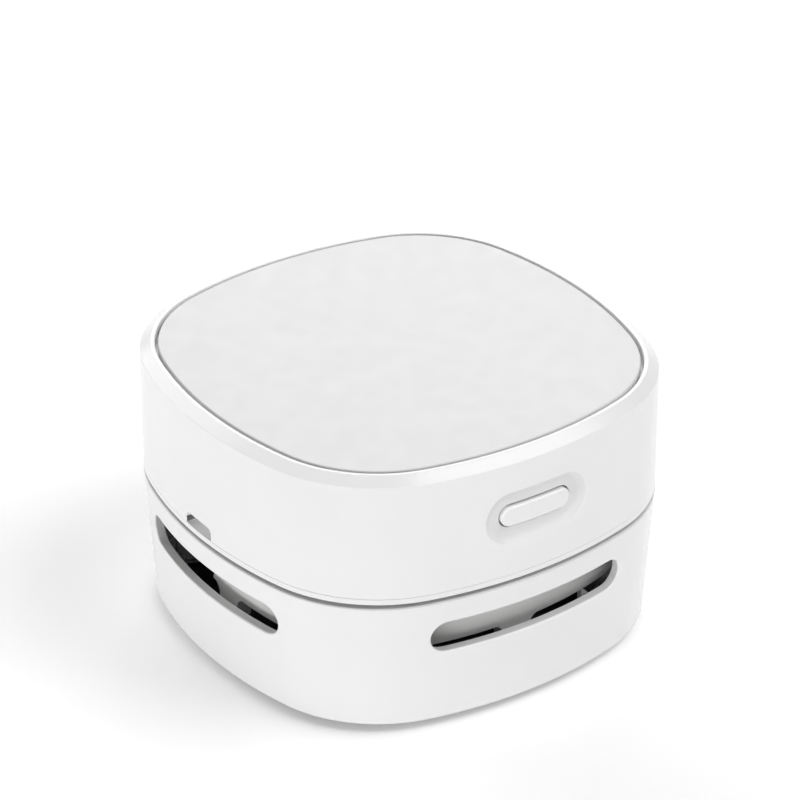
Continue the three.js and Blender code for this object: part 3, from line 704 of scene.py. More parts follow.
        border = [(s, levels[0]) for s in stations]
        border += [(stations[-1], z) for z in levels[1:-1]]
        border += [(s, levels[-1]) for s in reversed(stations)]
        border += [(stations[0], z) for z in levels[-2:0:-1]]
        for line in [[Vector(place) for place in border], *lines]:
            row = [point(place) for place in line]
            edges += [(a, b) for a, b in zip(row, [*row[1:], row[0]]) if a != b]
        drawn = len(points)
        for s in stations[1:-1]:
            for z in levels[1:-1]:
                place = Vector((s, z))
                near = min((place - other).length for other in points[:drawn])
                if near > spacing * self.FREE and not any(inside(place, loop) for loop in loops):
                    point(place)
        result = delaunay_2d_cdt(points, edges, [], 0, self.MERGE, True)
        places, triangles, origins = result[0], result[2], result[3]
        real = [points[origin[0]] if origin else place for place, origin in zip(places, origins)]
        corners = [self.corner(place.x, place.y) for place in real]
        for triangle in triangles:
            centre = (real[triangle[0]] + real[triangle[1]] + real[triangle[2]]) / 3
            if not any(inside(centre, loop) for loop in loops):
                # Faces within the recess's edge take the second finish: painted shade
                dished = bool(guides) and inside(centre, guides[self.EDGE])
                self.surface.face((corners[i] for i in triangle), int(dished))


@dataclass(frozen=True)
class Notch:
    """Opening that breaks the lower edge of the upper shell, with round upper corners."""

    side: Side
    width: float
    top: float
    radius: float
    facets: int = 6

    def edges(self, outline: CaseOutline) -> tuple[float, float]:
        """Both ends of the opening, as lengths along the outline."""
        middle = self.side.value * outline.quarter
        return middle - self.width / 2, middle + self.width / 2

    def path(self, outline: CaseOutline, bottom: float) -> list[Vector]:
        """Draws the opening.

        Args:
            outline: the case outline.
            bottom: height at which both sides start.

        Returns:
            Lengths and heights, from the foot of one side over the top to the foot of the other.
        """
        low, high = self.edges(outline)
        points = [Vector((low, bottom))]
        for centre, start in ((low + self.radius, pi), (high - self.radius, pi / 2)):
            for k in range(self.facets + 1):
                angle = start - pi / 2 * k / self.facets
                points.append(Vector((
                    centre + self.radius * cos(angle),
                    self.top - self.radius + self.radius * sin(angle),
                )))
        points.append(Vector((high, bottom)))
        inner = [s for s in outline.stations() if low < s < high]
        return points + [Vector((s, bottom)) for s in reversed(inner)]


def turned(name: str, corners: Corners, path: Path = Circle()) -> Object:
    """Makes a piece by carrying one section round a path.

    Args:
        name: name of the piece.
        corners: across, up and radius of each corner of the section.
        path: what it goes round.

    Returns:
        The piece.
    """
    surface = Surface()
    surface.carry(path, rounded(corners))
    return surface.build(name)


def linear(colour: str) -> tuple[float, float, float, float]:
    """Turns an sRGB hex colour into linear light.

    Args:
        colour: such as "#F0F0F0".

    Returns:
        Red, green, blue and alpha.
    """
    parts = [int(colour[i:i + 2], 16) / 255 for i in (1, 3, 5)]
    red, green, blue = (p / 12.92 if p <= 0.04045 else ((p + 0.055) / 1.055) ** 2.4 for p in parts)
    return red, green, blue, 1.0


def add_node(tree: NodeTree, kind: str, given: dict | None = None) -> NodeOutputs:
    """Adds a node to a tree.

    Args:
        tree: the tree.
        kind: Blender's name for the kind of node.
        given: its properties by name, and its inputs by name or number, each a value or a socket to link.

    Returns:
        Its outputs.
    """
    node = tree.nodes.new(kind)
    for name, value in (given or {}).items():
        if isinstance(value, NodeSocket):
            tree.links.new(value, node.inputs[name])
        elif isinstance(name, str) and hasattr(node, name):
            setattr(node, name, value)
        else:
            node.inputs[name].default_value = value
    return node.outputs


# A noise is between these on nearly all of a surface
NOISE_SPAN = {"From Min": 0.3, "From Max": 0.7}


@dataclass(frozen=True)
class Pattern:
    """What a finish draws: its share of the second colour, its relief, and its gloss where that varies."""

    share: NodeSocket
    relief: NodeSocket
    roughness: NodeSocket | None = None


@dataclass(frozen=True)
class Finish:
    """A surface finish: its name, its slot in the record, its two colours and its relief in millimetres."""

    name: str
    slot: str
    colour: str
    roughness: float
    metallic: float = 0.0
    ior: float = 1.5
    sheen: float = 0.0
    shade: str = "#E0E0E0"
    depth: float = 0.003
    strength: float = 0.6

    @property
    def material(self) -> Material:
        """The material, built when it is first asked for."""
        return bpy.data.materials.get(self.name) or self.build()

    def build(self) -> Material:
        """Builds the material.

        Returns:
            The material, with even values on the shader and the pattern in colour, gloss and relief.
        """
        material = bpy.data.materials.new(self.name)
        material.use_nodes = True
        material.diffuse_color = linear(self.colour)
        tree = material.node_tree
        shader = tree.nodes["Principled BSDF"].inputs
        shader["Base Color"].default_value = linear(self.colour)
        shader["Roughness"].default_value = self.roughness
        shader["Metallic"].default_value = self.metallic
        shader["Sheen Weight"].default_value = self.sheen
        if not self.metallic:
            shader["IOR"].default_value = self.ior
        drawn = self.draw(tree, add_node(tree, "ShaderNodeTexCoord")["Object"])
        mixed = add_node(tree, "ShaderNodeMix", {
            "data_type": "RGBA", 0: drawn.share, 6: linear(self.colour), 7: linear(self.shade),
        })
        bump = add_node(tree, "ShaderNodeBump", {
            "Strength": self.strength, "Distance": self.depth * MM, "Height": drawn.relief,
        })
        tree.links.new(mixed[2], shader["Base Color"])
        tree.links.new(bump[0], shader["Normal"])
        if drawn.roughness is not None:
            tree.links.new(drawn.roughness, shader["Roughness"])
        return material

    def draw(self, tree: NodeTree, place: NodeSocket) -> Pattern:
        """Draws the pattern of the finish.

        Args:
            tree: the material's tree.
            place: Object coordinates in metres.

        Returns:
            The pattern.
        """
        raise NotImplementedError


@dataclass(frozen=True)
class MouldedPlastic(Finish):
    """Injection moulded plastic: the mould's grain, a slight flow in the colour, and a trace of handling."""

    # The grain of a mould, 0.05 to 0.15 mm wide, is too fine to show in the render and is drawn coarser
    grain: float = 0.3
    flow: float = 14.0
    flow_share: float = 0.12
    touch: float = 3.5
    touch_swing: float = 0.08

    def draw(self, tree: NodeTree, place: NodeSocket) -> Pattern:
        """Draws the grain, the flow of the colour and the handled gloss.

        Args:
            tree: the material's tree.
            place: Object coordinates in metres.

        Returns:
            The pattern.
        """
        flow, touch, relief = (
            add_node(tree, "ShaderNodeTexNoise", {
                "Scale": 1 / (size * MM), "Detail": detail, "Vector": place,
            })["Fac"]
            for size, detail in ((self.flow, 2), (self.touch, 3), (self.grain, 3))
        )
        low, high = (self.roughness * (1 + sign * self.touch_swing) for sign in (-1, 1))
        share, gloss = (
            add_node(tree, "ShaderNodeMapRange", NOISE_SPAN | {
                "Value": noise, "To Min": least, "To Max": most,
            })["Result"]
            for noise, least, most in ((flow, 0.0, self.flow_share), (touch, low, high))
        )
        return Pattern(share, relief, gloss)


@dataclass(frozen=True)
class PlatedMetal(Finish):
    """Plated metal: drawn or turned lines under the plating, and clouding where it has dulled."""

    metallic: float = 1.0
    shade: str = "#8A8C90"
    depth: float = 0.004
    strength: float = 0.5
    cloud: float = 3.0
    cloud_share: float = 0.3
    cloud_gloss: tuple[float, float] = (0.8, 1.25)
    # Drawn lines, 0.02 mm wide, are too fine to show in the render and are drawn coarser
    line: float = 0.12
    squeeze: float = 0.08

    def draw(self, tree: NodeTree, place: NodeSocket) -> Pattern:
        """Draws lines along Z, and clouds in colour and gloss.

        Args:
            tree: the material's tree.
            place: Object coordinates in metres.

        Returns:
            The pattern.
        """
        stretched = add_node(tree, "ShaderNodeMapping", {
            "vector_type": "POINT", "Scale": (1, 1, self.squeeze), "Vector": place,
        })["Vector"]
        cloud, lines = (
            add_node(tree, "ShaderNodeTexNoise", {
                "Scale": 1 / (size * MM), "Detail": detail, "Vector": vector,
            })["Fac"]
            for size, detail, vector in ((self.cloud, 3, place), (self.line, 2, stretched))
        )
        share, gloss = (
            add_node(tree, "ShaderNodeMapRange", NOISE_SPAN | {
                "Value": cloud, "To Min": least, "To Max": most,
            })["Result"]
            for least, most in (
                (0.0, self.cloud_share), (self.roughness * factor for factor in self.cloud_gloss),
            )
        )
        return Pattern(share, lines, gloss)


@dataclass(frozen=True)
class Felt(Finish):
    """Needled filter felt: crossed fibres, soft to the eye, with grey specks of caught dust."""

    sheen: float = 0.3
    shade: str = "#B9B7AE"
    # Fibres of 0.02 mm are too fine to show in the render, so bundles of them are drawn
    fibre: float = 0.25
    squeeze: float = 0.12
    angles: tuple[float, float] = (0.6, -0.9)
    dust: float = 0.9
    depth: float = 0.12
    strength: float = 0.9

    def draw(self, tree: NodeTree, place: NodeSocket) -> Pattern:
        """Draws fibres that cross at a wide angle.

        Args:
            tree: the material's tree.
            place: Object coordinates in metres.

        Returns:
            The pattern.
        """
        laid = [
            add_node(tree, "ShaderNodeMapping", {
                "Rotation": (0, 0, angle), "Scale": (1, self.squeeze, 1), "Vector": place,
            })["Vector"]
            for angle in self.angles
        ]
        fibres = [
            add_node(tree, "ShaderNodeTexNoise", {
                "Scale": 1 / (self.fibre * MM), "Detail": 3, "Vector": vector,
            })["Fac"]
            for vector in laid
        ]
        both = add_node(tree, "ShaderNodeMath", {"operation": "MAXIMUM", 0: fibres[0], 1: fibres[1]})[0]
        share = add_node(tree, "ShaderNodeMapRange", NOISE_SPAN | {
            "Value": both, "To Min": self.dust, "To Max": 0.0,
        })["Result"]
        return Pattern(share, both)


@dataclass(frozen=True)
class BoardLaminate(Finish):
    """Circuit board under solder mask: copper tracks show as lighter lines in a glossy green."""

    shade: str = "#2F7D4F"
    depth: float = 0.03
    strength: float = 0.4
    cell: float = 3.3
    track: tuple[float, float] = (0.05, 0.09)

    def draw(self, tree: NodeTree, place: NodeSocket) -> Pattern:
        """Draws a net of tracks.

        Args:
            tree: the material's tree.
            place: Object coordinates in metres.

        Returns:
            The pattern.
        """
        border = add_node(tree, "ShaderNodeTexVoronoi", {
            "feature": "DISTANCE_TO_EDGE", "Scale": 1 / (self.cell * MM), "Vector": place,
        })["Distance"]
        line = add_node(tree, "ShaderNodeMapRange", {
            "Value": border, "From Min": self.track[0], "From Max": self.track[1],
            "To Min": 1.0, "To Max": 0.0,
        })["Result"]
        return Pattern(line, line)


# Polished ABS of the case: a clean white with soft reflections along the rims
CASE_ABS = MouldedPlastic(
    "polished white ABS", "white_shell", "#F1F1F1", 0.24, ior=1.53, grain=0.9, depth=0.0006,
)
# Spark eroded ABS of the lid: the same white gone grey and dull by its fine grain
LID_ABS = MouldedPlastic("spark eroded grey ABS", "top_panel", "#E4E4E4", 0.5, grain=0.28, depth=0.004)
# Satin ABS of the dish round the button, greyer than the polished wall: the grey is painted shade of the
# recess
DISH_SHADE_ABS = MouldedPlastic(
    "satin white ABS, painted dish shade", "white_shell", "#E4E4E4", 0.4, ior=1.53, grain=0.4, depth=0.002,
)
# White ABS in the slots and on the parting face, darker and duller than the wall: the darker colour is
# painted shade
PAINTED_SHADE_ABS = MouldedPlastic("white ABS, painted slot shade", "white_shell", "#D2D2D2", 0.5, grain=0.3, depth=0.002)
# Unpolished ABS of the inner parts: milky, with the tool's dull surface
INNER_ABS = MouldedPlastic(
    "tool finish white ABS", "inner_plastic", "#EAEAE9", 0.42, grain=0.5, depth=0.003,
)
# Black ABS: deep and even, its grain seen only in the sheen
BLACK_ABS = MouldedPlastic(
    "black ABS", "black_plastic", "#1B1B1D", 0.45, shade="#2A2A2C", grain=0.4, depth=0.004,
)
# Nitrile rubber: charcoal, almost without reflections
RUBBER = MouldedPlastic(
    "nitrile rubber", "rubber", "#242426", 0.8, shade="#343436", grain=0.35, depth=0.01,
)
# Nylon filament: black with a thin gleam along each hair
NYLON = MouldedPlastic(
    "nylon filament", "bristles", "#18181A", 0.38, shade="#2C2C2F", grain=0.2, depth=0.001,
)
# Polyester felt of the filter: off-white and fibrous
FELT = Felt("polyester felt", "filter_fabric", "#E2E1DA", 0.95)
# Bright zinc on the screws: cool grey with a clouded gleam
ZINC = PlatedMetal("zinc plated steel", "screw_steel", "#C4C7CB", 0.3)
# Drawn and nickel plated motor steel: lines run up the can
DRAWN_STEEL = PlatedMetal("drawn plated steel", "motor_steel", "#B9BABD", 0.32)
# Tinned steel of the socket: bright, folded from thin sheet
TIN = PlatedMetal("tinned steel", "socket_steel", "#C9CACC", 0.25, line=0.08)
# Sintered bronze: brown and grainy from its pores
BRONZE = PlatedMetal("sintered bronze", "bearing_bronze", "#A8824E", 0.42, shade="#7A5C34")
# Nickel strip: a slightly warm white metal
NICKEL = PlatedMetal("nickel strip", "nickel", "#C9C5BC", 0.28)
# PVC shrink sleeve of the cell: blue, tight and glossy
SLEEVE = MouldedPlastic(
    "PVC shrink sleeve", "cell_wrap", "#2F6F9A", 0.35, shade="#24587C", grain=1.2, depth=0.004,
)
# Glass laminate under solder mask: green and glossy
LAMINATE = BoardLaminate("solder masked laminate", "laminate", "#1C5A38", 0.3)
# Moulded epoxy of the chips: matt black
EPOXY = MouldedPlastic("moulded epoxy", "epoxy", "#141416", 0.55, shade="#222225")
# Tinted epoxy of the charging light: clear red gloss
LENS = MouldedPlastic("red epoxy lens", "led_lens", "#C8362C", 0.15, shade="#A32A22")
# PVC insulation of the wires: even colour with a dull gleam
RED_PVC = MouldedPlastic("red PVC", "red_wire", "#B3261E", 0.4, shade="#8F1D17")
BLACK_PVC = MouldedPlastic("black PVC", "black_wire", "#17171A", 0.4, shade="#2A2A2E")


def settle(
    piece: Object, body: str, finish: Finish, *nodes: str, second: Finish | None = None
) -> None:
    """Gives a finished piece its finish and body, and hides what it stands for.

    Args:
        piece: the piece.
        body: the CAD body that it rides on.
        finish: its finish.
        nodes: CAD nodes that it replaces.
        second: finish of the faces that were marked as part 1, which here is always a painted shade.
    """
    while piece.data.materials:
        piece.data.materials.pop()
    piece.data.materials.append(finish.material)
    if second:
        piece.data.materials.append(second.material)
    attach(piece, body)
    if nodes:
        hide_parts(*nodes)
    log.info("%s: %d faces in %s, on %s", piece.name, len(piece.data.polygons), finish.name, body)


def dress(finish: Finish, *nodes: str) -> None:
    """Gives CAD nodes a finish.

    Args:
        finish: the finish.
        nodes: names of the nodes.
    """
    for node in nodes:
        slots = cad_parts[node].material_slots
        if not slots:
            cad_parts[node].data.materials.append(finish.material)
        for slot in slots:
            slot.material = finish.material
        log.info("%s: CAD solid in %s", node, finish.name)


def made_plain(piece: Object) -> Object:
    """Turns what a piece's modifiers make into its plain mesh.

    Args:
        piece: a piece with modifiers.

    Returns:
        The same piece without modifiers.
    """
    graph = bpy.context.evaluated_depsgraph_get()
    mesh = bpy.data.meshes.new_from_object(
        piece.evaluated_get(graph), preserve_all_data_layers=True, depsgraph=graph
    )
    piece.modifiers.clear()
    piece.data, old = mesh, piece.data
    bpy.data.meshes.remove(old)
    return piece


def carve(piece: Object, tools: Sequence[Object], crease: float = 32) -> Object:
    """Cuts tools out of a piece and shades what is left.

    Args:
        piece: the piece.
        tools: closed pieces, used up by the cut.
        crease: edges turned by more degrees than this stay sharp.

    Returns:
        The same piece.
    """
    for tool in tools:
        cut = piece.modifiers.new(tool.name, "BOOLEAN")
        cut.operation = "DIFFERENCE"
        cut.solver = "EXACT"
        cut.object = tool
    made_plain(piece)
    for tool in tools:
        bpy.data.objects.remove(tool)
    piece.data.shade_smooth()
    piece.data.set_sharp_from_angle(angle=radians(crease))
    weigh = piece.modifiers.new("weigh", "WEIGHTED_NORMAL")
    weigh.keep_sharp = True
    return made_plain(piece)


# Sets a prism upright: its outline faces the front, and it reaches forward from low to high
UPRIGHT = Matrix.Rotation(pi / 2, 4, "X")


def prism(name: str, corners: Corners, low: float, high: float) -> Object:
    """Makes a solid with straight walls on a closed outline.

    Args:
        name: its name.
        corners: across, depth and rounding of each corner, listed anticlockwise.
        low: its lower face.
        high: its upper face.

    Returns:
        The solid.
    """
    surface = Surface()
    spots = [spot for arc in rounded(corners) for spot in arc]
    rows = [
        [surface.corner(Vector((s.u, s.v, z)), Vector((s.nu, s.nv, 0))) for s in spots] for z in (low, high)
    ]
    surface.strip(*rows)
    for row, sign in zip(rows, (-1, 1)):
        surface.cap(row, Vector((0, 0, sign)))
    return surface.build(name)


def block(
    name: str, middle: tuple[float, float], size: tuple[float, float], bottom: float, top: float,
    edge: float = 0.0,
) -> Object:
    """Makes a block.

    Args:
        name: its name.
        middle: its middle, across and in depth.
        size: its sizes across and in depth.
        bottom: its lower face.
        top: its upper face.
        edge: rounding of its upright edges.

    Returns:
        The block.
    """
    corners = [
        (middle[0] + across * size[0] / 2, middle[1] + deep * size[1] / 2, edge)
        for across, deep in ((-1, -1), (1, -1), (1, 1), (-1, 1))
    ]
    return prism(name, corners, bottom, top)


def peg(x: float, y: float, radius: float, bottom: float, top: float, facets: int = 32) -> Object:
    """Makes a plain round cutter.

    Args:
        x: place across.
        y: place in depth.
        radius: its radius.
        bottom: its lower end.
        top: its upper end.
        facets: flats round it.

    Returns:
        The cutter.
    """
    corners = [(0, bottom, 0), (radius, bottom, 0), (radius, top, 0), (0, top, 0)]
    return turned("peg", corners, Circle(x, y, facets))


def in_corners(place: Vector) -> list[tuple[float, float]]:
    """The four places of a fastener that stands in each corner of the case."""
    return [(x * place.x, y * place.y) for x in (1, -1) for y in (1, -1)]


def arc_band(
    name: str, inner: float, outer: float, middle: float, span: float, bottom: float, top: float,
    edge: float = 0,
) -> Object:
    """Makes a curved bar: part of a flat ring.

    Args:
        name: its name.
        inner: inner radius.
        outer: outer radius.
        middle: angle of its middle in degrees.
        span: angle from end to end in degrees.
        bottom: its lower face.
        top: its upper face.
        edge: rounding along it.

    Returns:
        The bar.
    """
    surface = Surface()
    facets = 28
    corners = [(inner, bottom, edge), (outer, bottom, edge), (outer, top, edge), (inner, top, edge)]
    spots = [spot for arc in rounded(corners) for spot in arc]
    turns = [radians(middle + span * (k / facets - 1 / 2)) for k in range(facets + 1)]
    rows = [[surface.corner(*Circle().stand(turn, spot)) for spot in spots] for turn in turns]
    surface.strips(rows)
    for row, turn, sign in ((rows[0], turns[0], -1), (rows[-1], turns[-1], 1)):
        surface.cap(row, Vector((-sin(turn), cos(turn), 0)) * sign)
    return surface.build(name)


class Repeater:
    """Geometry Nodes tree with named inputs, which ends in real geometry with its finish."""

    NAME = ""
    INPUTS: tuple[tuple[str, str], ...] = ()

    def __init__(self) -> None:
        """Builds the tree round what draw() makes."""
        tree = bpy.data.node_groups.new(self.NAME, "GeometryNodeTree")
        self.tree = tree
        self.sockets = {
            name: tree.interface.new_socket(name, in_out="INPUT", socket_type=f"NodeSocket{kind}").identifier
            for name, kind in (*self.INPUTS, ("Finish", "Material"))
        }
        tree.interface.new_socket("Geometry", in_out="OUTPUT", socket_type="NodeSocketGeometry")
        given = add_node(tree, "NodeGroupInput")
        real = add_node(tree, "GeometryNodeRealizeInstances", {0: self.draw(tree, given)})[0]
        dressed = add_node(tree, "GeometryNodeSetMaterial", {0: real, "Material": given["Finish"]})
        add_node(tree, "NodeGroupOutput", {0: dressed[0]})

    def draw(self, tree: NodeTree, given: NodeOutputs) -> NodeSocket:
        """Adds the nodes between the inputs and the real geometry.

        Args:
            tree: the tree.
            given: the tree's inputs by name.

        Returns:
            The instances.
        """
        raise NotImplementedError

    def apply(self, piece: Object, values: dict[str, float | int], finish: Finish) -> None:
        """Runs the tree on a piece and keeps the result as its plain mesh.

        Args:
            piece: the piece.
            values: the inputs by name, lengths in metres and angles in radians.
            finish: finish of the result.
        """
        modifier = piece.modifiers.new(self.NAME, "NODES")
        modifier.node_group = self.tree
        for name, value in values.items():
            modifier[self.sockets[name]] = value
        modifier[self.sockets["Finish"]] = finish.material
        made_plain(piece)


class RingOfCopies(Repeater):
    """Repeats a piece at equal turns about the Z axis."""

    NAME = "ring of copies"
    INPUTS = (("Geometry", "Geometry"), ("Copies", "Int"))

    def draw(self, tree: NodeTree, given: NodeOutputs) -> NodeSocket:
        """One point for each copy, turned by its number.

        Args:
            tree: the tree.
            given: the tree's inputs by name.

        Returns:
            The copies.
        """
        points = add_node(tree, "GeometryNodePoints", {"Count": given["Copies"]})[0]
        step = add_node(tree, "ShaderNodeMath", {"operation": "DIVIDE", 0: 2 * pi, 1: given["Copies"]})[0]
        index = add_node(tree, "GeometryNodeInputIndex")[0]
        turn = add_node(tree, "ShaderNodeMath", {"operation": "MULTIPLY", 0: index, 1: step})[0]
        spin = add_node(tree, "ShaderNodeCombineXYZ", {"Z": turn})[0]
        return add_node(tree, "GeometryNodeInstanceOnPoints", {
            "Points": points, "Instance": given["Geometry"], "Rotation": spin,
        })[0]


class BristleField(Repeater):
    """Plants rows of bristles on a curved strip."""

    NAME = "bristle field"
    INPUTS = (
        ("Inner Radius", "Float"), ("Width", "Float"), ("Span", "Float"), ("Top", "Float"),
        ("Length", "Float"), ("Thickness", "Float"), ("Along", "Int"), ("Across", "Int"),
        ("Lean", "Float"), ("Seed", "Int"),
    )

    def draw(self, tree: NodeTree, given: NodeOutputs) -> NodeSocket:
        """A grid bent into an arc, with a leaning hair on each point.

        Args:
            tree: the tree.
            given: the tree's inputs by name.

        Returns:
            The hairs.
        """
        grid = add_node(tree, "GeometryNodeMeshGrid", {
            "Size X": given["Span"], "Size Y": given["Width"],
            "Vertices X": given["Along"], "Vertices Y": given["Across"],
        })["Mesh"]
        flat = add_node(tree, "GeometryNodeInputPosition")[0]
        axes = add_node(tree, "ShaderNodeSeparateXYZ", {0: flat})
        middle = add_node(tree, "ShaderNodeMath", {
            "operation": "MULTIPLY_ADD", 0: given["Width"], 1: 0.5, 2: given["Inner Radius"],
        })[0]
        radius = add_node(tree, "ShaderNodeMath", {"operation": "ADD", 0: middle, 1: axes["Y"]})[0]
        bent = {"Z": given["Top"]}
        for axis, operation, sign in (("X", "SINE", 1.0), ("Y", "COSINE", -1.0)):
            wave = add_node(tree, "ShaderNodeMath", {"operation": operation, 0: axes["X"]})[0]
            way = add_node(tree, "ShaderNodeMath", {"operation": "MULTIPLY", 0: wave, 1: sign})[0]
            bent[axis] = add_node(tree, "ShaderNodeMath", {"operation": "MULTIPLY", 0: radius, 1: way})[0]
        place = add_node(tree, "ShaderNodeCombineXYZ", bent)[0]
        strip = add_node(tree, "GeometryNodeSetPosition", {"Geometry": grid, "Position": place})[0]
        hair = add_node(tree, "GeometryNodeMeshCone", {
            "Vertices": 5, "Radius Top": given["Thickness"], "Radius Bottom": given["Thickness"],
            "Depth": given["Length"],
        })["Mesh"]
        length, other = (
            add_node(tree, "ShaderNodeMath", {"operation": "MULTIPLY", 0: given[name], 1: -1.0})[0]
            for name in ("Length", "Lean")
        )
        drop = add_node(tree, "ShaderNodeCombineXYZ", {"Z": length})[0]
        hung = add_node(tree, "GeometryNodeTransform", {"Geometry": hair, "Translation": drop})[0]
        low, high = (
            add_node(tree, "ShaderNodeCombineXYZ", dict.fromkeys("XYZ", most))[0]
            for most in (other, given["Lean"])
        )
        lean = add_node(tree, "FunctionNodeRandomValue", {
            "data_type": "FLOAT_VECTOR", 0: low, 1: high, "Seed": given["Seed"],
        })[0]
        return add_node(tree, "GeometryNodeInstanceOnPoints", {
            "Points": strip, "Instance": hung, "Rotation": lean,
        })[0]


@dataclass
class Shell:
    """A wall of the case: a closed section carried round the outline, open in two of its flats."""

    outline: CaseOutline
    corners: Corners
    outer: int
    inner: int
    holes: Sequence[Hole] = ()
    recess: Recess | None = None
    notch: Notch | None = None
    # Arcs of the section, each with the flat after it, that take the second finish: painted shade
    painted_shade_arcs: tuple[int, ...] = ()
    rows: int = 9
    foot: float = 1.0

    def build(self) -> Surface:
        """Covers the shell.

        Returns:
            Its surface, for more to be added.
        """
        surface = Surface()
        section = rounded(self.corners)
        stations = self.outline.stations()
        gap = self.notch.edges(self.outline) if self.notch else (0.0, 0.0)
        kept = [not gap[0] - TINY <= s < gap[1] - TINY for s in stations]
        rows = [
            [[surface.corner(*self.outline.stand(s, spot)) for s in stations] for spot in arc]
            for arc in section
        ]
        for i, arc in enumerate(rows):
            pairs = list(zip(arc, arc[1:]))
            if i not in (self.outer, self.inner):
                pairs.append((arc[-1], rows[(i + 1) % len(rows)][0]))
            low = max(spot.v for spot in section[i]) < self.corners[self.outer][1] + self.foot
            for first, second in pairs:
                for j, whole in enumerate(kept):
                    if whole or not low:
                        k = (j + 1) % len(stations)
                        surface.face((first[j], first[k], second[k], second[j]), int(i in self.painted_shade_arcs))
        foot, head = section[self.outer][-1], section[self.outer + 1][0]
        outside = Wall(surface, self.outline, foot, head, self.recess)
        lower, upper = section[(self.inner + 1) % len(section)][0], section[self.inner][-1]
        within = Wall(surface, self.outline, lower, Spot(upper.u, upper.v, lower.nu, lower.nv))
        for wall in (outside, within):
            low, high = wall.low.v, wall.high.v
            levels = [low + (high - low) * k / self.rows for k in range(self.rows + 1)]
            wall.fill(levels, self.holes, self.notch)
        for hole in self.holes:
            # The passages through the openings take the second finish: painted shade
            surface.strip(outside.rim(hole), within.rim(hole), part=1)
        if self.notch:
            self.close_notch(outside, within, section)
        return surface

    def close_notch(self, outside: Wall, within: Wall, section: Sequence[Sequence[Spot]]) -> None:
        """Covers the sides and the top of the notch.

        Args:
            outside: outer wall.
            within: inner wall.
            section: spots of the shell's section.
        """
        surface = outside.surface
        low, high = self.notch.edges(self.outline)
        feet = [wall.low.v for wall in (outside, within)]
        paths = [
            [p for p in self.notch.path(self.outline, foot) if p.y > foot or p.x in (low, high)]
            for foot in feet
        ]
        middle = (low + high) / 2
        for i in range(len(paths[0]) - 1):
            quad = []
            for wall, path, order in ((outside, paths[0], (0, 1)), (within, paths[1], (1, 0))):
                for k in order:
                    at = path[i + k]
                    quad.append(surface.corner(wall.stand(at.x, at.y)[0], self.look(at, middle)))
            surface.face(quad)
        below = [spot for arc in section for spot in arc if spot.v <= max(feet) + TINY]
        below.sort(key=lambda spot: atan2(spot.v - max(feet) - 1, spot.u + 1))
        for station, sign in ((low, 1), (high, -1)):
            places = [self.outline.stand(station, spot)[0] for spot in below]
            look = self.outline.stand(station + 1, below[0])[0] - places[0]
            surface.face([surface.corner(place, look * sign) for place in places])

    def look(self, at: Vector, middle: float) -> Vector:
        """Tells the way that the edge of the notch looks: towards its middle, and down at its top.

        Args:
            at: length along the outline and height.
            middle: length at the notch's middle.

        Returns:
            The normal.
        """
        radius = self.notch.radius
        low, high = self.notch.edges(self.outline)
        across = min(0.0, at.x - low - radius) + max(0.0, at.x - high + radius)
        up = max(0.0, at.y - self.notch.top + radius)
        if not across and not up:
            across = at.x - middle
        normal = self.outline.stand(middle, Spot(0, 0, 1, 0))[1]
        return -(Vector((-normal.y, normal.x, 0)) * across + Vector((0, 0, up)))


@dataclass
class Layout:
    """Boxes, heights and reaches that several sub-assemblies share, read from the CAD frame."""

    lower: Box = box("lower_shell")
    upper: Box = box("upper_shell")
    middle: Box = box("mid_frame")
    base: Box = box("base_plate")
    housing: Box = box("fan_housing")
    lid: Box = box("top_panel")
    base_screw: Box = box("base_screw_front_left")
    frame_screw: Box = box("frame_screw_front_left")
    housing_screw: Box = box("housing_screw_front_left")
    wall: float = 2.0
    post_radius: float = 3.0
    screw_room: float = 0.3
    chassis_gap: float = 0.2
    tab_drop: float = 4.5
    floor_thickness: float = 1.5

    @property
    def outline(self) -> CaseOutline:
        """Outline of the case."""
        return CaseOutline(self.upper.reach)

    @property
    def housing_gap(self) -> float:
        """How far inside the case the fan housing is."""
        return self.upper.reach - self.housing.reach

    @property
    def plate_bottom(self) -> float:
        """Underside of the plate over the fan."""
        return self.housing.top + self.chassis_gap

    @property
    def floor_bottom(self) -> float:
        """Underside of the fan housing's floor, above its tabs."""
        return self.housing.bottom + self.tab_drop

    @property
    def floor_top(self) -> float:
        """Inner face of the fan housing's floor."""
        return self.floor_bottom + self.floor_thickness


@dataclass
class ScrewSet:
    """Four screws with domed cross heads, one in each corner."""

    name: str
    stem: str
    body: str
    copies: RingOfCopies
    head: float = 0.8
    shank: float = 1.0
    point: float = 0.35
    point_length: float = 0.6
    cross_length: float = 2.6
    cross_width: float = 0.55
    cross_depth: float = 0.45

    def make(self) -> None:
        """Makes the first screw and repeats it."""
        solid = box(f"{self.stem}_front_left")
        radius, bottom, middle = solid.reach, solid.bottom, solid.middle
        corners = [
            (0, bottom, 0), (radius, bottom, 0.35), (radius, bottom + self.head, 0.1),
            (self.shank, bottom + self.head, 0.1), (self.shank, solid.top - self.point_length, 0.2),
            (self.point, solid.top, 0.1), (0, solid.top, 0),
        ]
        screw = turned(self.name, corners, Circle(middle.x, middle.y, facets=48))
        tools = []
        for angle in (45, 135):
            size = (self.cross_length, self.cross_width)
            blade = block("blade", (0, 0), size, bottom - OVERCUT, bottom + self.cross_depth)
            shift = Matrix.Translation(Vector((middle.x, middle.y, 0)) * MM)
            blade.data.transform(shift @ Matrix.Rotation(radians(angle), 4, "Z"))
            tools.append(blade)
        carve(screw, tools)
        self.copies.apply(screw, {"Copies": 4}, ZINC)
        places = ("front_left", "front_right", "back_right", "back_left")
        settle(screw, self.body, ZINC, *(f"{self.stem}_{corner}" for corner in places))


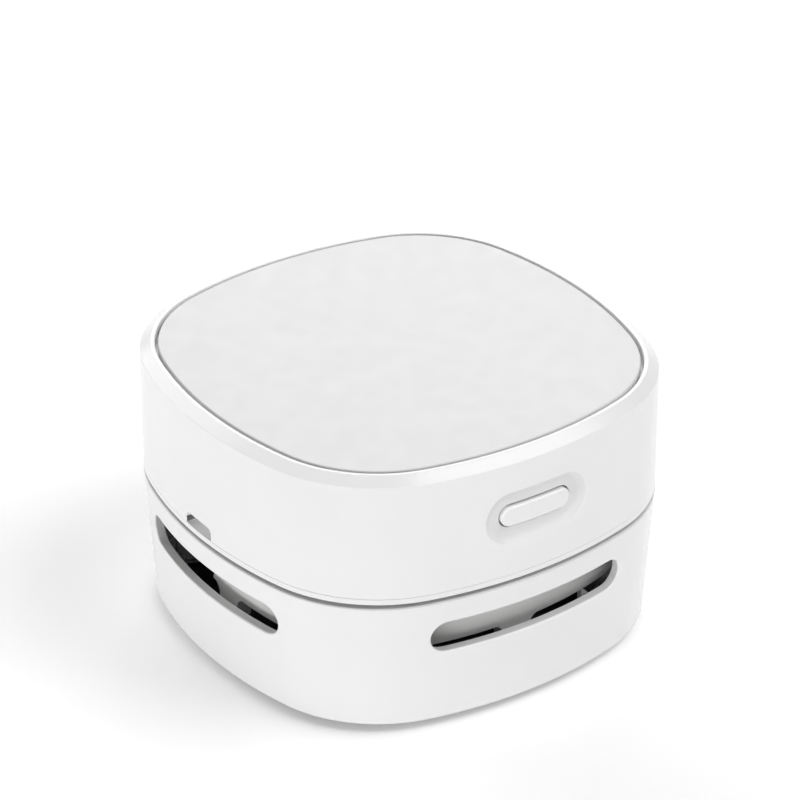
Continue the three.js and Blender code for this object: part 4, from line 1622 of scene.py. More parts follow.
@dataclass
class DustBox:
    """Lower half: shell with exhaust slots, base plate, dust cup with its seal, brushes, feet and screws."""

    layout: Layout
    copies: RingOfCopies
    bristles: BristleField
    slot_width: float = 40.0
    slot_height: float = 6.1
    slot_rise: float = 4.65
    ledge_inset: float = 7.0
    ledge_thickness: float = 1.4
    ledge_drop: float = 5.4
    taper: float = 1.6
    gap: float = 0.3
    post_height: float = 7.0
    post_sunk: float = 0.4
    rib_place: float = 15.2
    rib_neck: float = 0.6
    rib_width: float = 1.9
    rib_depth: float = 1.0
    rib_sunk: float = 0.5
    plate_thickness: float = 2.0
    bore: float = 9.2
    groove_width: float = 3.5
    groove_depth: float = 1.0
    groove_ends: float = 1.3
    pocket_room: float = 0.2
    pocket_depth: float = 0.5
    sink_depth: float = 0.9
    screw_hole: float = 1.3
    tube_mouth: float = 8.9
    tube_outside: float = 9.6
    tube_inside: float = 8.0
    tube_flare: float = 1.4
    tube_draft: float = 0.1
    gasket: float = 0.15
    gasket_lap: float = 2.5
    cup_wall: float = 1.8
    cup_shelf: float = 1.7
    seal_foot: float = 0.7
    seal_lip: tuple[float, float] = (0.45, 0.55)
    brush_span: float = 70.0
    brush_width: float = 2.9
    brush_bar: float = 0.8
    bristle_inset: float = 0.35
    bristle_ends: float = 1.5
    bristle_root: float = 0.4
    bristle_tip: float = 0.05
    bristle_radius: float = 0.11
    bristle_lean: float = 4.0
    bristle_rows: tuple[int, int] = (92, 6)
    sole_hollow: float = 0.25
    sole_ring: tuple[float, float] = (0.55, 0.62)
    sole_edge: float = 0.1
    foot_waist: float = 1.2

    def make(self) -> None:
        """Makes all pieces of the dust box."""
        self.make_shell()
        self.make_base()
        self.make_tube()
        self.make_gasket()
        self.make_cup()
        self.make_brushes()
        self.make_feet()
        ScrewSet("base_screws", "base_screw", "dust_box", self.copies).make()

    @property
    def plate_top(self) -> float:
        """Upper face of the base plate."""
        return self.layout.base.bottom + self.plate_thickness

    def make_shell(self) -> None:
        """Outer shell: tapered wall with a ledge for the base plate, and four screw posts."""
        low, high = self.layout.lower.bottom, self.layout.lower.top
        wall = self.layout.wall
        ledge_bottom = self.layout.base_screw.top - self.ledge_drop
        ledge_top = ledge_bottom + self.ledge_thickness
        inset = (self.layout.upper.reach - self.layout.base.reach) - self.gap
        foot = self.taper * (high - ledge_top) / (high - low)
        corners = [
            (-self.taper, low, 0.6), (0, high, 0.25), (-wall, high, 0.2),
            (-foot - wall, ledge_top, 0.4), (-self.ledge_inset, ledge_top, 0.3),
            (-self.ledge_inset, ledge_bottom, 0.3), (-inset, ledge_bottom, 0.2), (-inset, low, 0.3),
        ]
        z = self.layout.floor_bottom + self.slot_rise
        holes = [Hole(side, self.slot_width, self.slot_height, z) for side in Side]
        # The top land at the seam (arcs 1 and 2) and the slot passages take the second finish: painted shade
        surface = Shell(self.layout.outline, corners, 0, 2, holes, painted_shade_arcs=(1, 2)).build()
        bottom = ledge_bottom + self.post_sunk
        for place in in_corners(self.layout.base_screw.middle):
            surface.post(*place, self.layout.post_radius, bottom, bottom + self.post_height)
        settle(surface.build("lower_case"), "dust_box", CASE_ABS, "lower_shell", second=PAINTED_SHADE_ABS)
        self.make_ribs(ledge_top - self.rib_sunk, self.layout.floor_bottom - self.gap)

    def make_ribs(self, foot: float, top: float) -> None:
        """Four upright ribs on the ledge, each with one shoulder cut off.

        Args:
            foot: their lower end, inside the ledge.
            top: their upper end.
        """
        outline = self.layout.outline
        face = outline.side_radius - self.layout.housing_gap
        shoulder = top - self.rib_width + self.rib_neck
        rib = prism("guide_ribs", [
            (0, foot, 0.1), (self.rib_width, foot, 0.1), (self.rib_width, shoulder, 0.15),
            (self.rib_neck, top, 0.15), (0, top, 0.1),
        ], face - self.rib_depth, face)
        centre = Matrix.Translation((0, -outline.side_centre * MM, 0))
        turn = Matrix.Rotation(asin(self.rib_place / face), 4, "Z")
        rib.data.transform(centre @ turn @ UPRIGHT)
        self.copies.apply(rib, {"Copies": 4}, CASE_ABS)
        settle(rib, "dust_box", CASE_ABS)

    def make_base(self) -> None:
        """Base plate: bore, brush grooves, foot pockets and screw sinks."""
        base, screw, foot = self.layout.base, self.layout.base_screw, box("foot_front")
        bottom, top = base.bottom, self.plate_top
        below, above = bottom - OVERCUT, top + OVERCUT
        surface = Surface()
        surface.plate(self.layout.outline, self.layout.upper.reach - base.reach, bottom, top, 0.35)
        outer, reach = -box("brush_front").low.y + self.gap, -foot.middle.y
        tools = [peg(0, 0, self.bore, below, above, facets=96)]
        for side in Side:
            angle = side.value * 90 - 90
            x, y = reach * cos(radians(angle)), reach * sin(radians(angle))
            span = self.brush_span + self.groove_ends
            groove_top = bottom + self.groove_depth
            tools += [
                arc_band("groove", outer - self.groove_width, outer, angle, span, below, groove_top),
                peg(x, y, foot.reach + self.pocket_room, below, bottom + self.pocket_depth, facets=48),
            ]
        for place in in_corners(screw.middle):
            sink = screw.reach + self.layout.screw_room
            tools += [
                peg(*place, sink, below, screw.bottom + self.sink_depth, facets=48),
                peg(*place, self.screw_hole, bottom, above),
            ]
        settle(carve(surface.build("base"), tools), "dust_box", INNER_ABS, "base_plate")

    def make_tube(self) -> None:
        """Inlet tube with a flared mouth."""
        bottom, top = self.layout.base.bottom, self.layout.base.top
        tube = [
            (self.tube_mouth, bottom, 0.3), (self.tube_outside, bottom, 0.2),
            (self.tube_outside, self.plate_top + self.gap, 0.1),
            (self.tube_outside - self.tube_draft, top, 0.3), (self.tube_inside, top, 0.4),
            (self.tube_inside, bottom + self.tube_flare, 1.2),
        ]
        settle(turned("inlet_tube", tube), "dust_box", INNER_ABS)

    def make_gasket(self) -> None:
        """Thin black sheet on the base plate, open round the dust cup and the screws."""
        low, high = self.plate_top, self.plate_top + self.gasket
        below, above = low - OVERCUT, low + OVERCUT
        sheet = Surface()
        sheet.plate(self.layout.outline, self.ledge_inset + self.gap, low, high, self.gasket / 3)
        tools = [peg(0, 0, box("dust_cup").reach - self.gasket_lap, below, above, facets=96)]
        for place in in_corners(self.layout.base_screw.middle):
            tools.append(peg(*place, self.layout.post_radius + self.gap, below, above, facets=48))
        settle(carve(sheet.build("base_gasket"), tools), "dust_box", RUBBER)

    def make_cup(self) -> None:
        """Dust cup with the filter's shelf, and the rubber seal on it."""
        cup, seal = box("dust_cup"), box("cup_seal")
        outer, inner = cup.reach, cup.reach - self.cup_wall
        shelf, rim = box("filter_frame").bottom - self.gap, inner - self.cup_shelf
        settle(turned("cup", [
            (rim, cup.bottom, 0.1), (outer, cup.bottom, 0.2), (outer, cup.top, 0.35),
            (inner, cup.top, 0.3), (inner, shelf, 0.2), (rim, shelf, 0.3),
        ]), "dust_box", BLACK_ABS, "dust_cup")
        foot = seal.bottom + self.seal_foot
        settle(turned("seal", [
            (inner, seal.bottom, 0.15), (outer, seal.bottom, 0.15), (outer, foot, 0.2),
            (outer - self.seal_lip[1], seal.top, 0.3), (inner + self.seal_lip[0], seal.top, 0.3),
            (inner, foot, 0.2),
        ]), "dust_box", RUBBER, "cup_seal")

    def make_brushes(self) -> None:
        """Four curved brushes: a bar in its groove, and bristles down to the table."""
        brush = box("brush_front")
        outer = -brush.low.y
        inner, low = outer - self.brush_width, brush.top - self.brush_bar
        bar = arc_band("brush_bars", inner, outer, -90, self.brush_span, low, brush.top, 0.15)
        self.copies.apply(bar, {"Copies": 4}, BLACK_ABS)
        settle(bar, "dust_box", BLACK_ABS)
        along, across = self.bristle_rows
        root = brush.top - self.bristle_root
        hairs = shown("brush_bristles", bpy.data.meshes.new("brush_bristles"))
        self.bristles.apply(hairs, {
            "Inner Radius": (inner + self.bristle_inset) * MM,
            "Width": (outer - inner - 2 * self.bristle_inset) * MM,
            "Span": radians(self.brush_span - self.bristle_ends),
            "Top": root * MM, "Length": (root - self.bristle_tip) * MM,
            "Thickness": self.bristle_radius * MM, "Along": along, "Across": across,
            "Lean": radians(self.bristle_lean), "Seed": 7,
        }, NYLON)
        hairs.data.shade_smooth()
        self.copies.apply(hairs, {"Copies": 4}, NYLON)
        settle(hairs, "dust_box", NYLON, "brush_front", "brush_right", "brush_back", "brush_left")

    def make_feet(self) -> None:
        """Four rubber feet with a shallow hollow in the sole."""
        foot = box("foot_front")
        radius, hollow = foot.reach, self.sole_hollow
        inner, outer = (radius * share for share in self.sole_ring)
        corners = [
            (0, hollow, 0), (inner, hollow, 0.1), (outer, 0, 0.1), (radius - self.sole_edge, 0, 0.25),
            (radius, self.foot_waist, 0.3), (radius, foot.top, 0.2), (0, foot.top, 0),
        ]
        first = turned("feet", corners, Circle(foot.middle.x, foot.middle.y, facets=48))
        self.copies.apply(first, {"Copies": 4}, RUBBER)
        settle(first, "dust_box", RUBBER, "foot_front", "foot_right", "foot_back", "foot_left")


@dataclass
class FilterUnit:
    """Lift-out filter: a black ring with spokes and a pleated felt disc."""

    copies: RingOfCopies
    rim: float = 2.4
    spoke_width: float = 2.0
    spoke_start: float = 2.0
    spoke_lap: float = 0.5
    spoke_height: float = 0.6
    hub: float = 4.0
    pleats: int = 18
    pleat_steps: int = 8
    felt_steps: int = 24
    felt: float = 0.7
    felt_lap: float = 0.2

    def make(self) -> None:
        """Makes the ring, the spokes with their hub, and the pleated disc."""
        solid = box("filter_frame")
        low, high = solid.bottom, solid.top
        outer, inner = solid.reach, solid.reach - self.rim
        settle(turned("filter_ring", [
            (inner, low, 0.3), (outer, low, 0.4), (outer, high, 0.4), (inner, high, 0.5),
        ]), "filter", BLACK_ABS, "filter_frame")
        start, end = self.spoke_start, inner + self.spoke_lap
        spoke_top = low + self.spoke_height
        spoke = block(
            "filter_spokes", (0, (end + start) / 2), (self.spoke_width, end - start), low, spoke_top, 0.2,
        )
        self.copies.apply(spoke, {"Copies": 4}, BLACK_ABS)
        settle(spoke, "filter", BLACK_ABS)
        settle(turned("filter_hub", [
            (0, low, 0), (self.hub, low, 0.2), (self.hub, spoke_top, 0.15), (0, spoke_top, 0),
        ], Circle(facets=48)), "filter", BLACK_ABS)
        self.make_felt(box("filter_pad"))

    def make_felt(self, pad: Box) -> None:
        """Pleated disc.

        Args:
            pad: box of its CAD solid.
        """
        surface = Surface()
        steps, across = self.pleats * self.pleat_steps, self.felt_steps
        swing = (pad.top - pad.bottom - self.felt) / 2
        radius = pad.reach + self.felt_lap
        rows: dict[int, list[list[int]]] = {1: [], -1: []}
        for k in range(steps + 1):
            x = radius * cos(pi * k / steps)
            half = sqrt(max(0.0, radius**2 - x**2))
            phase = pi * self.pleats * x / radius
            z = pad.middle.z + swing * sin(phase)
            lean = -swing * cos(phase) * pi * self.pleats / radius
            for sign, made in rows.items():
                normal = Vector((lean, 0, 1)) * sign
                level = z + sign * self.felt / 2
                made.append([
                    surface.corner(Vector((x, half * (2 * j / across - 1), level)), normal)
                    for j in range(across + 1)
                ])
        for made in rows.values():
            surface.strips(made, closed=False)
        for end in (0, -1):
            for top, bottom in zip(zip(rows[1], rows[1][1:]), zip(rows[-1], rows[-1][1:])):
                surface.cap((top[0][end], top[1][end], bottom[1][end], bottom[0][end]))
        settle(surface.build("filter_felt"), "filter", FELT, "filter_pad")


@dataclass
class UpperCase:
    """Upper shell with the button recess and the charging window, and the lid panel set into it."""

    layout: Layout
    chamfer_height: float = 1.45
    chamfer_width: float = 1.95
    groove: float = 0.6
    shelf_gap: float = 0.2
    shelf_inset: float = 6.0
    shelf_thickness: float = 1.2
    post_foot: float = 0.3
    post_sunk: float = 0.1
    recess_width: float = 20.8
    recess_height: float = 10.0
    recess_depth: float = 1.0
    recess_slope: float = 1.5
    cap_gap: float = 0.35
    cap_edge: float = 0.15
    window_width: float = 7.8
    window_height: float = 2.4
    window_corner: float = 1.1

    def make(self) -> None:
        """Makes the shell and the lid."""
        self.make_shell()
        self.make_lid()

    def make_shell(self) -> None:
        """Outer shell, from its lower edge over the chamfered rim to the shelf under the lid."""
        low, high = self.layout.upper.bottom, self.layout.upper.top
        wall, half = self.layout.wall, self.layout.upper.reach
        groove = half - self.layout.lid.reach - self.groove
        shelf = self.layout.lid.bottom - self.shelf_gap
        under = shelf - self.shelf_thickness
        corners = [
            (0, low, 0.08), (0, high - self.chamfer_height, 0.35), (-self.chamfer_width, high, 0.25),
            (-groove, high, 0.2), (-groove, shelf, 0.1), (-self.shelf_inset, shelf, 0.1),
            (-self.shelf_inset, under, 0.1), (-wall, under, 0.2), (-wall, low, 0.2),
        ]
        width, height, z = button_size()
        recess = Recess(self.recess_width, self.recess_height, z, self.recess_depth, self.recess_slope)
        room = 2 * self.cap_gap
        opening = Hole(Side.FRONT, width + room, height + room, z, self.cap_edge)
        notch = Notch(Side.LEFT, self.window_width, low + self.window_height, self.window_corner)
        outline = CaseOutline(half, extra=notch.edges(CaseOutline(half)))
        surface = Shell(outline, corners, 0, 7, [opening], recess, notch).build()
        foot, top = self.layout.middle.top + self.post_foot, shelf - self.post_sunk
        for place in in_corners(self.layout.frame_screw.middle):
            surface.post(*place, self.layout.post_radius, foot, top)
        # The dish and the passage round the button take the second finish: painted shade
        settle(surface.build("upper_case"), "upper", CASE_ABS, "upper_shell", second=DISH_SHADE_ABS)

    def make_lid(self) -> None:
        """Flat grey panel in the middle of the top."""
        lid = self.layout.lid
        surface = Surface()
        inset = self.layout.upper.reach - lid.reach
        surface.plate(self.layout.outline, inset, lid.bottom, lid.top, 0.25)
        settle(surface.build("lid"), "upper", LID_ABS, "top_panel")


# How much wider and higher than the button's face its flange is
FLANGE = (3.7, 3.2)


def button_size() -> tuple[float, float, float]:
    """Width, height and middle of the button's face, from the flange of its CAD solid."""
    cap = box("button_cap")
    return cap.high.x - cap.low.x - FLANGE[0], cap.top - cap.bottom - FLANGE[1], cap.middle.z


@dataclass
class Button:
    """Push button: a stadium cap with a pillowed face on a wider flange."""

    layout: Layout
    edge: float = 0.45
    edge_facets: int = 5
    crown: float = 0.12
    crown_facets: int = 6
    stem: float = 3.0
    flange: float = 1.0

    def make(self) -> None:
        """Makes the cap with its flange."""
        height = button_size()[1]
        surface = Surface()
        loops = [(0.0, self.stem, 1.0)]
        for k in range(self.edge_facets + 1):
            angle = pi / 2 * k / self.edge_facets
            grow, depth = self.edge * (cos(angle) - 1), self.edge * (1 - sin(angle))
            loops.append((grow, depth, cos(angle)))
        for k in range(1, self.crown_facets + 1):
            share = k / self.crown_facets
            grow = (self.edge - height / 2) * share - self.edge
            loops.append((grow, -self.crown * (1 - (1 - share) ** 2), 0.0))
        rows = [self.row(surface, *loop) for loop in loops]
        surface.strips(rows)
        surface.cap(rows[0], Vector((0, 1, 0)))
        settle(surface.build("button_face"), "button", CASE_ABS, "button_cap")
        self.make_flange()

    def row(self, surface: Surface, grow: float, depth: float, sideways: float) -> list[int]:
        """Adds one loop of the cap.

        Args:
            surface: takes the corners.
            grow: how much larger than the cap the loop is.
            depth: how far behind the face it is.
            sideways: share of the normal that looks away from the cap's middle.

        Returns:
            The numbers of its corners.
        """
        width, height, z = button_size()
        outline = self.layout.outline
        inset = self.layout.upper.reach + box("button_cap").low.y
        forward = sqrt(max(0.0, 1 - sideways**2))
        row = []
        for s in stadium(width, height, z, grow):
            place, normal = outline.stand(outline.along(s.u, inset), Spot(-inset - depth, s.v, 1, 0))
            place.x = s.u
            look = Vector((s.nu, 0, s.nv)) * sideways + normal * forward
            row.append(surface.corner(place, look))
        return row

    def make_flange(self) -> None:
        """Plate behind the wall that keeps the cap in."""
        cap = box("button_cap")
        surface = Surface()
        spots = stadium(cap.high.x - cap.low.x, cap.top - cap.bottom, cap.middle.z)
        rows = [
            [surface.corner(Vector((s.u, y, s.v)), Vector((s.nu, 0, s.nv))) for s in spots]
            for y in (cap.high.y - self.flange, cap.high.y)
        ]
        surface.strip(*rows)
        for row, sign in zip(rows, (-1, 1)):
            surface.cap(row, Vector((0, sign, 0)))
        settle(surface.build("button_flange"), "button", CASE_ABS)


@dataclass
class MiddleFrame:
    """Frame between the halves: a white rim that shows under the seam, and a black chassis with posts."""

    layout: Layout
    seam: float = 0.2
    rim_height: float = 1.0
    parting: float = 0.05
    rim_width: float = 3.6
    lip_inset: float = 2.3
    spigot_inset: float = 2.6
    spigot_wall: float = 1.4
    spigot_drop: float = 1.0
    plate_thickness: float = 1.5
    plate_lap: float = 0.5
    tie_radius: float = 2.6
    tie_foot: float = 0.3

    def make(self) -> None:
        """Makes the rim and the chassis."""
        bottom = self.layout.upper.bottom - self.seam - self.rim_height
        top, lip_top = self.layout.upper.bottom - self.parting, self.layout.middle.top
        outer, inner = self.spigot_inset, self.spigot_inset + self.spigot_wall
        foot = self.layout.plate_bottom - self.spigot_drop
        rim = turned("middle_rim", [
            (0, bottom, 0.3), (0, top, 0.08), (-self.lip_inset, top, 0.04),
            (-self.lip_inset, lip_top, 0.3), (-self.rim_width, lip_top, 0.3),
            (-self.rim_width, top, 0.04), (-inner, top, 0.1), (-inner, foot, 0.3), (-outer, foot, 0.4),
            (-outer, bottom, 0.1),
        ], self.layout.outline)
        settle(rim, "upper", CASE_ABS, "mid_frame")
        self.make_chassis(inner - self.plate_lap)

    def make_chassis(self, inset: float) -> None:
        """Plate over the fan, with the posts for the screws.

        Args:
            inset: how far inside the case its edge is.
        """
        layout, lap = self.layout, self.plate_lap
        bottom = layout.plate_bottom
        top = bottom + self.plate_thickness
        surface = Surface()
        surface.plate(layout.outline, inset, bottom, top, 0.1)
        ties = in_corners(layout.housing_screw.middle)
        for place, tie in zip(in_corners(layout.frame_screw.middle), ties):
            surface.post(*place, layout.post_radius, top - lap, layout.middle.top)
            surface.post(*tie, self.tie_radius, layout.floor_top + self.tie_foot, bottom + lap)
        settle(surface.build("fan_chassis"), "upper", BLACK_ABS)


@dataclass
class FanUnit:
    """Fan housing with its vents and tabs, and the impeller in it."""

    layout: Layout
    copies: RingOfCopies
    skirt: float = 1.5
    eye: float = 12.0
    sink_depth: float = 0.85
    tab_width: float = 5.6
    tab_depth: float = 2.9
    tab_flare: float = 2.0
    tab_wing: float = 0.3
    tab_lap: float = 0.1
    tab_root: float = 0.5
    tab_inset: float = 0.04
    # Black liner inside the housing: a dark sheet that paints shade behind the vents
    liner: float = 0.35
    liner_gap: float = 0.05
    liner_lift: float = 0.02
    liner_floor: float = 0.25
    liner_drop: float = 0.3
    liner_eye: float = 0.4
    vents: tuple[float, ...] = (158, 70, -22)
    vent_span: float = 29.0
    vent_top: float = 8.5
    vent_reach: float = 0.6
    disc: float = 1.0
    hub: float = 3.5
    blades: int = 9
    blade_steps: int = 16
    blade_thickness: float = 1.1
    blade_inset: float = 3.0
    blade_rim: float = 0.3
    blade_lap: float = 0.5
    sweep: float = 50.0
    shaft: float = 1.0

    def make(self) -> None:
        """Makes the housing with its black liner of painted shade, its screws, the impeller and its shaft.
        """
        self.make_housing()
        self.make_tabs()
        self.make_shade_liner()
        ScrewSet("housing_screws", "housing_screw", "upper", self.copies).make()
        ScrewSet("frame_screws", "frame_screw", "upper", self.copies).make()
        self.make_impeller()
        self.make_blades()
        self.make_shaft()

    def scooped(self, name: str, thickness: float, bottom: float, top: float, edge: float) -> Object:
        """Makes a block with the outline of the case, scooped out round the frame screws.

        Args:
            name: its name.
            thickness: how far inside the outside of the skirt its edge is.
            bottom: its lower face.
            top: its upper face.
            edge: rounding of its edges.

        Returns:
            The block.
        """
        surface = Surface()
        surface.plate(self.layout.outline, self.layout.housing_gap + thickness, bottom, top, edge)
        screw = self.layout.frame_screw
        radius = screw.reach + self.layout.screw_room + thickness
        low, high = bottom - OVERCUT, top + OVERCUT
        return carve(surface.build(name), [
            peg(*place, radius, low, high, facets=48) for place in in_corners(screw.middle)
        ])

    def make_housing(self) -> None:
        """Box with a floor, a round eye in the floor and vents through the skirt."""
        solid, screw = self.layout.housing, self.layout.housing_screw
        bottom, top = self.layout.floor_bottom, self.layout.floor_top
        below = bottom - OVERCUT
        tools = [
            self.scooped("hollow", self.skirt, top, solid.top + OVERCUT, 0.4),
            peg(0, 0, self.eye, below, top + OVERCUT, facets=96),
            *self.vent_tools(),
        ]
        sink = screw.reach + self.layout.screw_room
        for place in in_corners(screw.middle):
            tools.append(peg(*place, sink, below, screw.bottom + self.sink_depth, facets=48))
        drum = self.scooped("fan_drum", 0, bottom, solid.top, 0.12)
        settle(carve(drum, tools), "upper", INNER_ABS, "fan_housing")

    def make_tabs(self) -> None:
        """Flared tabs under the floor, bent to the sides of the housing."""
        solid = self.layout.housing
        half, flare = self.tab_width / 2, self.tab_flare
        shelf, wing = self.layout.floor_bottom + self.tab_lap, half + flare + self.tab_wing
        root = shelf + self.tab_root
        tab = prism("housing_tabs", [
            (-half, solid.bottom, 0.4), (half, solid.bottom, 0.4), (half, shelf, flare),
            (wing, shelf, 0), (wing, root, 0), (-wing, root, 0), (-wing, shelf, 0),
            (-half, shelf, flare),
        ], solid.reach - self.tab_depth, solid.reach - self.tab_inset)
        tab.data.transform(UPRIGHT)
        bend = 2 * (self.layout.outline.side_radius - self.layout.housing_gap) * MM
        for vertex in tab.data.vertices:
            vertex.co.y += vertex.co.x**2 / bend
        self.copies.apply(tab, {"Copies": 4}, INNER_ABS)
        settle(tab, "upper", INNER_ABS)

    def vent_tools(self) -> list[Object]:
        """Makes the cutters of the vents, which are open at the bottom.

        Returns:
            One curved bar for each vent.
        """
        inner = self.layout.housing.reach - self.skirt - self.vent_reach
        outer, bottom = self.layout.upper.reach, self.layout.floor_bottom
        low, high = bottom - OVERCUT, bottom + self.vent_top
        return [
            arc_band("vent", inner, outer, angle, self.vent_span, low, high) for angle in self.vents
        ]

    def make_shade_liner(self) -> None:
        """Black cup inside the housing, a painted shade that keeps its inside dark behind the vents."""
        low = self.layout.floor_top + self.liner_lift
        high = self.layout.housing.top - self.liner_drop
        outside = self.skirt + self.liner_gap
        inside_low, above = low + self.liner_floor, high + OVERCUT
        eye = self.eye + self.liner_eye
        liner = carve(self.scooped("fan_shade_liner", outside, low, high, 0.1), [
            self.scooped("hollow", outside + self.liner, inside_low, above, 0.1),
            peg(0, 0, eye, low - OVERCUT, low + OVERCUT, facets=96),
            *self.vent_tools(),
        ])
        settle(liner, "upper", BLACK_ABS)

    def make_impeller(self) -> None:
        """Disc with a domed hub."""
        fan = box("impeller")
        under = fan.top - self.disc
        disc = turned("impeller_disc", [
            (0, fan.bottom, 0), (self.hub, fan.bottom, 1.2), (self.hub, under, 0.8),
            (fan.reach, under, 0.3), (fan.reach, fan.top, 0.3), (0, fan.top, 0),
        ], Circle(facets=96))
        settle(disc, "fan", BLACK_ABS, "impeller")

    def make_blades(self) -> None:
        """Swept blades under the disc."""
        fan, steps = box("impeller"), self.blade_steps
        top = fan.top - self.disc + self.blade_lap
        start, sweep = self.eye - self.blade_inset, radians(self.sweep)
        surface = Surface()
        rows: dict[int, list[list[int]]] = {1: [], -1: []}
        for k in range(steps + 1):
            share = k / steps
            radius = start + (fan.reach - self.blade_rim - start) * share
            for sign, made in rows.items():
                angle = sweep * share + sign * self.blade_thickness / 2 / radius
                turn = sweep / (fan.reach - start) * radius
                look = Vector((-sin(angle - turn), cos(angle - turn), 0)) * sign
                x, y = radius * cos(angle), radius * sin(angle)
                made.append([surface.corner(Vector((x, y, z)), look) for z in (fan.bottom, top)])
        near, far = rows[1], rows[-1]
        for made in (near, far):
            surface.strips(made, closed=False)
        for level, up in ((0, -1), (1, 1)):
            for k in range(steps):
                quad = (near[k][level], near[k + 1][level], far[k + 1][level], far[k][level])
                surface.cap(quad, Vector((0, 0, up)))
        for k, sign in ((0, -1), (steps, 1)):
            quad = [*near[k], *reversed(far[k])]
            places = [surface.places[surface.corners[corner][0]] for corner in quad]
            middle = sum(places, Vector()) / len(places)
            surface.cap(quad, Vector((middle.x, middle.y, 0)) * sign)
        blade = surface.build("impeller_blades")
        self.copies.apply(blade, {"Copies": self.blades}, BLACK_ABS)
        settle(blade, "fan", BLACK_ABS)

    def make_shaft(self) -> None:
        """Motor shaft."""
        shaft, radius = box("motor_shaft"), self.shaft
        low, high = shaft.bottom, shaft.top
        rod = [(0, low, 0), (radius, low, 0.25), (radius, high, 0.2), (0, high, 0)]
        settle(turned("shaft", rod, Circle(facets=32)), "fan", ZINC, "motor_shaft")


@dataclass
class ChargingSocket:
    """Micro-USB socket behind the window: a folded shell with bevelled lower corners, and a tongue."""

    sheet: float = 0.3
    bevel: float = 0.9
    back_wall: float = 0.8

    def outline(self, solid: Box, inset: float) -> list[Spot]:
        """Draws the mouth with its two bevelled lower corners.

        Args:
            solid: box of the socket.
            inset: how far inside the box the outline is.

        Returns:
            Its spots across and up.
        """
        half = (solid.high.y - solid.low.y) / 2 - inset
        low, high = solid.bottom + inset, solid.top - inset
        arcs = rounded([
            (-half + self.bevel, low, 0.3), (half - self.bevel, low, 0.3), (half, low + self.bevel, 0.3),
            (half, high, 0.35), (-half, high, 0.35), (-half, low + self.bevel, 0.3),
        ])
        return [spot for arc in arcs for spot in arc]

    def make(self) -> None:
        """Makes the shell and the tongue."""
        solid, tongue = box("usb_socket"), box("usb_tongue")
        face, back = solid.low.x, solid.high.x
        surface = Surface()
        outer, inner = self.outline(solid, 0), self.outline(solid, self.sheet)
        rows = [
            [surface.corner(Vector((x, s.u, s.v)), Vector((0, s.nu, s.nv)) * sign) for s in spots]
            for spots, x, sign in (
                (outer, back, 1), (outer, face, 1), (inner, face, -1), (inner, back - self.back_wall, -1),
            )
        ]
        surface.strip(rows[0], rows[1])
        surface.strip(rows[2], rows[3])
        surface.strip(*(
            [surface.corner(Vector((face, s.u, s.v)), Vector((-1, 0, 0))) for s in spots]
            for spots in (outer, inner)
        ))
        surface.cap(rows[0], Vector((1, 0, 0)))
        surface.cap(rows[3], Vector((-1, 0, 0)))
        settle(surface.build("charging_socket"), "upper", TIN, "usb_socket")
        size = (tongue.high.x - tongue.low.x, tongue.high.y - tongue.low.y)
        middle = (tongue.middle.x, tongue.middle.y)
        wafer = block("socket_tongue", middle, size, tongue.bottom, tongue.top, 0.2)
        settle(wafer, "upper", BLACK_ABS, "usb_tongue")


@dataclass(frozen=True)
class Lamp:
    """Rectangular soft lamp that looks at the object; sizes and distance in metres, power in watts."""

    name: str
    azimuth: float
    elevation: float
    width: float
    height: float
    power: float
    distance: float = 0.95

    def build(self) -> None:
        """Hangs the lamp."""
        turn, rise = radians(self.azimuth), radians(self.elevation)
        lamp = bpy.data.lights.new(self.name, "AREA")
        lamp.energy = self.power
        lamp.shape = "RECTANGLE"
        lamp.size, lamp.size_y = self.width, self.height
        made = shown(self.name, lamp)
        made.location = self.distance * Vector((cos(turn) * cos(rise), sin(turn) * cos(rise), sin(rise)))
        made.rotation_euler = (-made.location).to_track_quat("-Z", "Y").to_euler()


